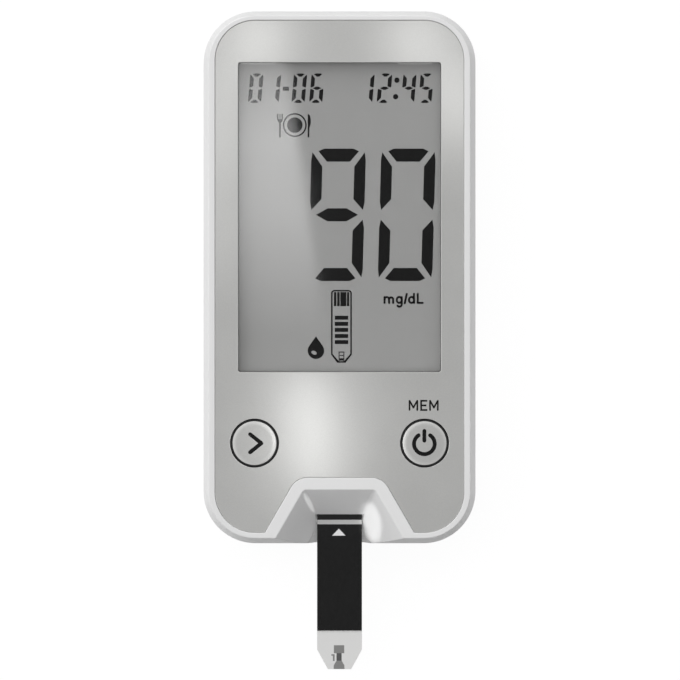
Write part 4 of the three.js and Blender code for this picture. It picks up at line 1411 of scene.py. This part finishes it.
class FacePlate(bpy.types.Operator):
    """Models the silver plate round the display and its printed word"""

    bl_idname = "meter.face_plate"
    bl_label = "Face plate"
    bl_options = {"REGISTER", "UNDO"}

    def execute(self, context):
        plate, key = sizes("plate"), sizes("key")
        bottom, top = plate_box[4:]
        over, under = top + OVERRUN, bottom - OVERRUN
        skin = prism(rounded(plate_box[:4], plate.corner), bottom, top, "face_plate_lacquered")
        holes = [rod(x, y, key.hole, under, over, ROUND_STEPS) for x, y in key_places().values()]
        window = prism(rounded(window_area(), plate.window_corner, 6), under, over)
        cut(skin, prism(notch(0), under, over), window, *holes)
        softened(skin, plate.edge)
        finished(skin, "meter", finish_of(silver_lacquer), ["face_plate"])
        word = flat_piece("plate_word", self.word(), top, top + key.ink)
        finished(word, "meter", finish_of(screen_ink))
        return {"FINISHED"}

    def word(self):
        """The word MEM over the power key."""
        low, high, line = -11.78, -10.23, sizes("plate").word_line
        letters = []
        for left, right in ((11.8, 13.11), (15.26, 16.56)):
            waist = (left + right) / 2, low + 0.4
            letters.append(ribbon([(left, low), (left, high), waist, (right, high), (right, low)], line, 4))
        left, right, half = 13.76, 14.65, line / 2
        spine, waist, end = left + half, (low + high) / 2, right + half
        upper = [(end, high + half), (left - half, high + half), (left - half, low - half), (end, low - half)]
        inner = [(end, low + half), (spine, low + half), (spine, waist - half), (right, waist - half)]
        inner += [(right, waist + half), (spine, waist + half), (spine, high - half), (end, high - half)]
        return [*letters, upper + inner]


class DisplayCell(bpy.types.Operator):
    """Finishes the clear pane, the display cell, its frame and its connector, and adds its gasket, whose dark
    edge in the window is partly painted shade
    """

    bl_idname = "meter.display_cell"
    bl_label = "Display cell"
    bl_options = {"REGISTER", "UNDO"}

    def execute(self, context):
        dressed("display_pane", finish_of(clear_acrylic), 0.08)
        dressed("lcd_front_glass", finish_of(display_polariser), 0.04)
        dressed("lcd_rear_glass", finish_of(reflector_film), 0.04)
        dressed("lcd_tray", finish_of(natural_abs), 0.1)
        dressed("elastomer_connector", finish_of(zebra_silicone), 0.08)
        # A real foam gasket, whose thin dark edge inside the window also paints shade along the window's edges
        display, corner = sizes("display"), sizes("plate").window_corner
        outlines = [
            rounded(grown(window_area(), by), corner, 6) for by in (display.gasket_cover, -display.gasket)
        ]
        top = plate_box[4] - sizes("case").deck - display.gasket_gap
        gasket = flat_piece("display_gasket", outlines, glass_box[5], top)
        finished(gasket, "meter", finish_of(gasket_foam_and_edge_shade))
        return {"FINISHED"}


class DisplayFigures(bpy.types.Operator):
    """Draws the display's figures and signs: date, time, reading, unit, meal, strip and drop"""

    bl_idname = "meter.display_figures"
    bl_label = "Display figures"
    bl_options = {"REGISTER", "UNDO"}

    def execute(self, context):
        left, _, low, _ = window_area()
        bottom = glass_box[5]
        top = bottom + sizes("display").ink
        signs = [self.date_and_time(), self.reading(), self.meal_sign(), self.strip_sign(), self.drop_sign()]
        pieces = []
        for outlines in [*signs, *self.unit()]:
            placed = [[(left + u, low + v) for u, v in outline] for outline in outlines]
            pieces.append(flat_piece("sign", placed, bottom, top))
        signs = together("display_signs", pieces)
        finished(signs, "meter", finish_of(segment_black))
        return {"FINISHED"}

    def segments(self, figure, left, low, form, slant, split):
        """The lit segments of a figure, drawn upright and then leaned over.

        split is how far the upright segments end from each other, as a share of a level segment's height.
        """
        width, height, upright, level = form
        gap, half, waist = upright * 0.13, level / 2, height / 2
        lit = {
            "0": "top bottom upper_left upper_right lower_left lower_right",
            "1": "upper_right lower_right",
            "2": "top upper_right middle lower_left bottom",
            "4": "upper_left upper_right middle lower_right",
            "5": "top upper_left middle lower_right bottom",
            "6": "top upper_left middle lower_left lower_right bottom",
            "9": "top upper_left upper_right middle lower_right bottom",
        }
        bar = [
            (gap + upright / 2, height - level / 5),
            (gap + upright, height),
            (width - gap - upright, height),
            (width - gap - upright / 2, height - level / 5),
            (width - upright - 3 * gap, height - level),
            (upright + 3 * gap, height - level),
        ]
        post = [
            (upright / 10, height - gap - level / 6),
            (0, height - 0.9 * level),
            (0, waist + split * level),
            (0.13 * upright, waist + 0.37 * split * level),
            (upright, waist + 1.2 * split * level),
            (upright, height - level - 3.4 * gap),
        ]
        shapes = {
            "top": bar,
            "bottom": [(x, height - y) for x, y in bar],
            "upper_left": post,
            "upper_right": [(width - x, y) for x, y in post],
            "lower_left": [(x, height - y) for x, y in post],
            "lower_right": [(width - x, height - y) for x, y in post],
            "middle": [
                (0.55 * upright, waist),
                (upright + half, waist + half),
                (width - upright - half, waist + half),
                (width - 0.55 * upright, waist),
                (width - upright - half, waist - half),
                (upright + half, waist - half),
            ],
        }
        tilt = math.tan(slant)
        return [[(left + x + y * tilt, low + y) for x, y in shapes[name]] for name in lit[figure].split()]

    def date_and_time(self):
        display = sizes("display")
        form = (display.small_width, display.small_height, display.small_upright, display.small_level)
        outlines = []
        for figures, places in (("0106", (1.62, 4.6, 8.98, 11.95)), ("1245", (20.39, 23.35, 27.45, 30.37))):
            for figure, place in zip(figures, places):
                outlines += self.segments(figure, place, 45.4, form, display.small_lean, 0.5)
        dash = square((7.53, 8.56, 47.46, 48.14))
        return [*outlines, dash, circle(26.79, 49.24, 0.45, 20), circle(26.57, 46.45, 0.45, 20)]

    def reading(self):
        display = sizes("display")
        form = (display.big_width, display.big_height, display.big_upright, display.big_level)
        outlines = []
        for i, figure in enumerate("90"):
            place = (1 + i) * display.big_pitch
            outlines += self.segments(figure, place, 15.34, form, display.big_lean, 1.0)
        return outlines

    def unit(self):
        """The strokes of the unit mg/dL, each a sign of its own because they cross."""
        line = sizes("display").unit_line
        base, rise, middle = 11.65, 13.16, 12.15

        def arch(x, radius):
            curve = reversed(arc(x + radius, 12.23, radius, 0, 180, 12))
            return [ribbon([*curve, (x + 2 * radius, base)], line)]

        def bowl(x):
            across, high = 0.42, 0.5
            return [
                [(x + (across + s) * u, middle + (high + s) * v) for u, v in circle(0, 0, 1, 32)]
                for s in (line / 2, -line / 2)
            ]

        stems = [ribbon([(x, base), (x, high)], line) for x, high in ((24.7, 12.6), (29.67, rise))]
        hook = ribbon([(27.6, 12.6), *arc(27.2, 11.42, 0.4, 0, -140, 12)], line)
        slash = ribbon([(28.1, 11.6), (28.44, rise)], line)
        last = ribbon([(30.3, rise), (30.3, base), (31.14, base)], line)
        letters = [arch(24.7, 0.385), arch(25.47, 0.34), bowl(27.18), [hook], [slash], bowl(29.25), [last]]
        return [*([stem] for stem in stems), *letters]

    def meal_sign(self):
        """A plate between a fork and a knife."""
        x = 7.05
        half_fork = [(0.14, 39.6), (0.14, 42.05), (0.34, 42.25), (0.48, 42.6), (0.48, 43.54), (0.27, 43.54)]
        half_fork += [(0.27, 42.75), (0.08, 42.55), (0.08, 43.5)]
        fork = [(x + u, v) for u, v in half_fork] + [(x - u, v) for u, v in reversed(half_fork)]
        knife = [
            (11.73, 39.6),
            (11.99, 39.56),
            (12.03, 41.2),
            (12.24, 41.9),
            (12.25, 42.6),
            (12.1, 43.3),
            (11.86, 43.56),
            (11.73, 43.4),
        ]
        rings = [circle(9.55, 41.66, radius, 64) for radius in (2.01, 1.77, 1.3)]
        return [fork, knife, *rings]

    def strip_sign(self):
        """A picture of a test strip with its tracks, bands and sample channel."""

        def body(by):
            return [
                (16.71 + by, 1.55 + by),
                (18.11 - by, 1.55 + by),
                (19.18 - by, 2.92 + by / 2),
                *arc(18.61, 13.27, 0.57 - by, 0, 90, 6),
                *arc(16.24, 13.27, 0.57 - by, 90, 180, 6),
                (15.67 + by, 2.92 + by / 2),
            ]

        tracks = [
            square((left, right, 11.1, 13.47))
            for left, right in ((16.15, 16.57), (16.7, 17.12), (17.24, 18.25), (18.35, 18.74))
        ]
        bands = [square((16.3, 18.56, low, low + 0.67)) for low in (8.81, 7.78, 6.76, 5.72, 4.7)]
        channel = [
            square((16.95, 17.1, 1.8, 3.43)),
            square((17.76, 17.91, 1.8, 3.43)),
            *(square((17.12, 17.74, low, high)) for low, high in ((3.28, 3.43), (2.72, 2.86), (1.92, 2.3))),
        ]
        return [body(0), body(0.26), *tracks, *bands, *channel]

    def drop_sign(self):
        """A drop with a light spot."""
        drop = [(13.12, 6.01), *arc(13.12, 3.58, 1.39, 145, 395, 40)]
        spot = [(12.8 + 0.46 * u, 3.24 - 0.1 * u + 0.32 * v) for u, v in circle(0, 0, 1, 24)]
        return [drop, spot]


class Keys(bpy.types.Operator):
    """Models the two round keys with their signs, and finishes the switches under them"""

    bl_idname = "meter.keys"
    bl_label = "Keys"
    bl_options = {"REGISTER", "UNDO"}

    def execute(self, context):
        key = sizes("key")
        signs = {"scroll": self.chevron, "power": self.power_ring}
        for name, (x, y) in key_places().items():
            left, right, _, _, bottom, top = box_mm(f"key_{name}_cap")
            radius = (right - left) / 2
            profile = [(radius, bottom)]
            for turn in (0, 30, 60, 90):
                angle = math.radians(turn)
                fall = key.fall + key.rim * (1 - math.sin(angle))
                profile.append((radius - key.rim * (1 - math.cos(angle)), top - fall))
            for share in (0.8, 0.6, 0.4, 0.2, 0.05):
                profile.append(((radius - key.rim) * share, top - key.fall * share**2))
            cap = turned(f"key_{name}_lacquered", profile, x, y)
            finished(cap, f"{name}_key", finish_of(silver_lacquer), [f"key_{name}_cap"])
            sign = flat_piece(f"key_{name}_sign", signs[name](x, y), top, top + key.ink)
            finished(sign, f"{name}_key", finish_of(screen_ink))
            dressed(f"key_{name}_carrier", finish_of(black_pom), 0.05)
            dressed(f"switch_{name}_body", finish_of(black_pom), 0.1)
            dressed(f"switch_{name}_plunger", finish_of(natural_abs), 0.1)
        return {"FINISHED"}

    def chevron(self, x, y):
        path = [(x - 0.74, y + 1.5), (x + 1.17, y - 0.02), (x - 0.74, y - 1.54)]
        return [ribbon(path, sizes("key").sign_line)]

    def power_ring(self, x, y):
        """An open ring with a bar in its gap."""
        line = sizes("key").sign_line
        half_gap = 34  # degrees
        ring = arc(x - 0.04, y - 0.12, 1.74, 90 + half_gap, 450 - half_gap, 48)
        return [ribbon(ring, line), ribbon([(x - 0.04, y + 2.06), (x - 0.04, y + 0.41)], line)]


class TestStrip(bpy.types.Operator):
    """Models the test strip: white base, dark film, arrow, sample channel and tracks"""

    bl_idname = "meter.test_strip"
    bl_label = "Test strip"
    bl_options = {"REGISTER", "UNDO"}

    def execute(self, context):
        left, right, low, high, bottom, top = strip_box
        tip, shoulder = 1.97, low + 3.32
        outline = [(tip, low), (right, shoulder), (right, high), (left, high), (left, shoulder), (-tip, low)]
        edge, segments, angle = 0.03, 2, 20
        base = softened(prism(outline, bottom, top, "strip_base_sheet"), edge, segments, angle)
        finished(base, "test_strip", finish_of(strip_polyester), ["strip_base"])
        film_top = film_box[5]
        film = prism(square(film_box[:4]), film_box[4], film_top, "strip_film_sheet")
        softened(film, edge, segments, angle)
        finished(film, "test_strip", finish_of(film_polyester), ["strip_film"])
        half = film_box[1]
        line = square((-half + 0.03, half - 0.03, -31.13, -30.38))
        arrow = [(-0.12, -31.87), (-1.25, -33.05), (1.01, -33.05)]
        channel = square((-0.96, 0.79, -52.94, -51.59))
        flare = [(-1.0, -55.6), (0.84, -55.6), (0.8, -54.95), (0.35, -54.2), (-0.51, -54.2), (-0.96, -54.95)]
        tick = [(-1.12, -54.25), (-0.83, -54.25), (-0.83, -53.1)]
        tick += [(-1.38, -53.1), (-1.38, -53.36), (-1.12, -53.36)]
        neck = square((-0.51, 0.35, -54.2, -52.94))
        start, end = film_box[3] + 0.2, high - 0.3
        tracks = [square((x - 0.32, x + 0.32, start, end)) for x in (-2.6, -1.3, 0, 1.3, 2.6)]
        for name, outlines, surface, maker in (
            ("strip_print_arrow", [arrow], film_top, print_white),
            ("strip_print_line", [line], film_top, print_pale_grey),
            ("strip_print_grey", [channel, flare, tick], top, print_grey),
            ("strip_print_dark", [neck], top, print_dark_grey),
            ("strip_tracks", tracks, top, carbon_ink),
        ):
            marks = flat_piece(name, outlines, surface, surface + sizes("key").ink)
            finished(marks, "test_strip", finish_of(maker))
        return {"FINISHED"}


class Screws(bpy.types.Operator):
    """Makes the screws by Geometry Nodes: heads with cross recesses, threads and points"""

    bl_idname = "meter.screws"
    bl_label = "Screws"
    bl_options = {"REGISTER", "UNDO"}

    def execute(self, context):
        screw = sizes("screw")
        for kind, places, height, turn in (
            ("case_screw", case_screws(), screw.case_head, math.pi),
            ("board_screw", board_screws(), screw.board_head, 0.0),
        ):
            nodes = [f"{kind}_{i + 1}" for i in range(len(places))]
            left, right, _, _, bottom, top = box_mm(nodes[0])
            seat = bottom + height if turn else top - height
            made = repeated(
                f"{kind}s_zinc",
                [(x, y, seat) for x, y in places],
                screw_part,
                {
                    "Head radius": (right - left) / 2,
                    "Head height": height,
                    "Shank radius": screw.shank,
                    "Length": top - bottom - height,
                    "Point": screw.point,
                    "Recess length": screw.recess_long,
                    "Recess width": screw.recess_wide,
                    "Recess depth": screw.recess_deep,
                    "Turn": turn,
                },
                finish_of(zinc_steel),
            )
            finished(made, "meter", finish_of(zinc_steel), nodes)
        return {"FINISHED"}


class Batteries(bpy.types.Operator):
    """Finishes the coin cells and the springs that touch them"""

    bl_idname = "meter.batteries"
    bl_label = "Batteries"
    bl_options = {"REGISTER", "UNDO"}

    def execute(self, context):
        for place in ("upper", "lower"):
            dressed(f"coin_cell_{place}", finish_of(stainless_can), 0.12)
            dressed(f"cell_leaf_{place}", finish_of(nickel_steel), 0.05)
            dressed(f"cell_clip_{place}", finish_of(nickel_steel), 0.05)
        return {"FINISHED"}


class Electronics(bpy.types.Operator):
    """Finishes the circuit board and what stands on it, with the chips' leads"""

    bl_idname = "meter.electronics"
    bl_label = "Electronics"
    bl_options = {"REGISTER", "UNDO"}

    def execute(self, context):
        for node, maker, edge in (
            ("main_board", circuit_board, 0.05),
            ("strip_connector", black_pom, 0.08),
            ("processor_chip", chip_epoxy, 0.1),
            ("amplifier_chip", chip_epoxy, 0.1),
            ("crystal_can", stainless_can, 0.3),
            ("temperature_sensor", chip_epoxy, 0.06),
            ("buzzer", black_pom, 0.2),
        ):
            dressed(node, finish_of(maker), edge)
        for i in range(5):
            dressed(f"strip_contact_{i + 1}", finish_of(gold_plating), 0.03)
        self.add_leads("processor_chip", 12, 0.65)
        self.add_leads("amplifier_chip", 5, 0.8)
        return {"FINISHED"}

    def add_leads(self, chip, count, pitch):
        """Rows of leads along a chip's left and right sides."""
        left, right, low, high, bottom, top = box_mm(chip)
        form = {"Reach": 0.5, "Width": pitch * 0.42, "Thickness": 0.13, "Rise": 0.45 * (top - bottom)}
        ys = [(low + high) / 2 + (i - (count - 1) / 2) * pitch for i in range(count)]
        rows = [
            repeated(
                f"{chip}_row",
                [(x, y, bottom + 0.01) for y in ys],
                lead_part,
                {**form, "Turn": turn},
                finish_of(nickel_steel),
            )
            for x, turn in ((left, math.pi), (right, 0.0))
        ]
        finished(together(f"{chip}_leads", rows), "meter", finish_of(nickel_steel))


class MeterPanel(bpy.types.Panel):
    """Lists the meter's operators"""

    bl_idname = "VIEW3D_PT_meter"
    bl_label = "Blood glucose meter"
    bl_space_type = "VIEW_3D"
    bl_region_type = "UI"
    bl_category = "Meter"

    def draw(self, context):
        for operator in operators:
            self.layout.operator(operator.bl_idname)


operators = (
    Stage,
    FrontHousing,
    RearHousing,
    BatteryDoor,
    FacePlate,
    DisplayCell,
    DisplayFigures,
    Keys,
    TestStrip,
    Screws,
    Batteries,
    Electronics,
)


def register():
    for group in (*groups.values(), *operators, MeterPanel):
        bpy.utils.register_class(group)
    for name, group in groups.items():
        setattr(bpy.types.Scene, "meter_" + name, bpy.props.PointerProperty(type=group))


def unregister():
    for name in groups:
        delattr(bpy.types.Scene, "meter_" + name)
    for group in reversed((*groups.values(), *operators, MeterPanel)):
        bpy.utils.unregister_class(group)


def main():
    register()
    for operator in operators:
        kind, name = operator.bl_idname.split(".")
        getattr(getattr(bpy.ops, kind), name)()


if __name__ == "__main__":
    main()
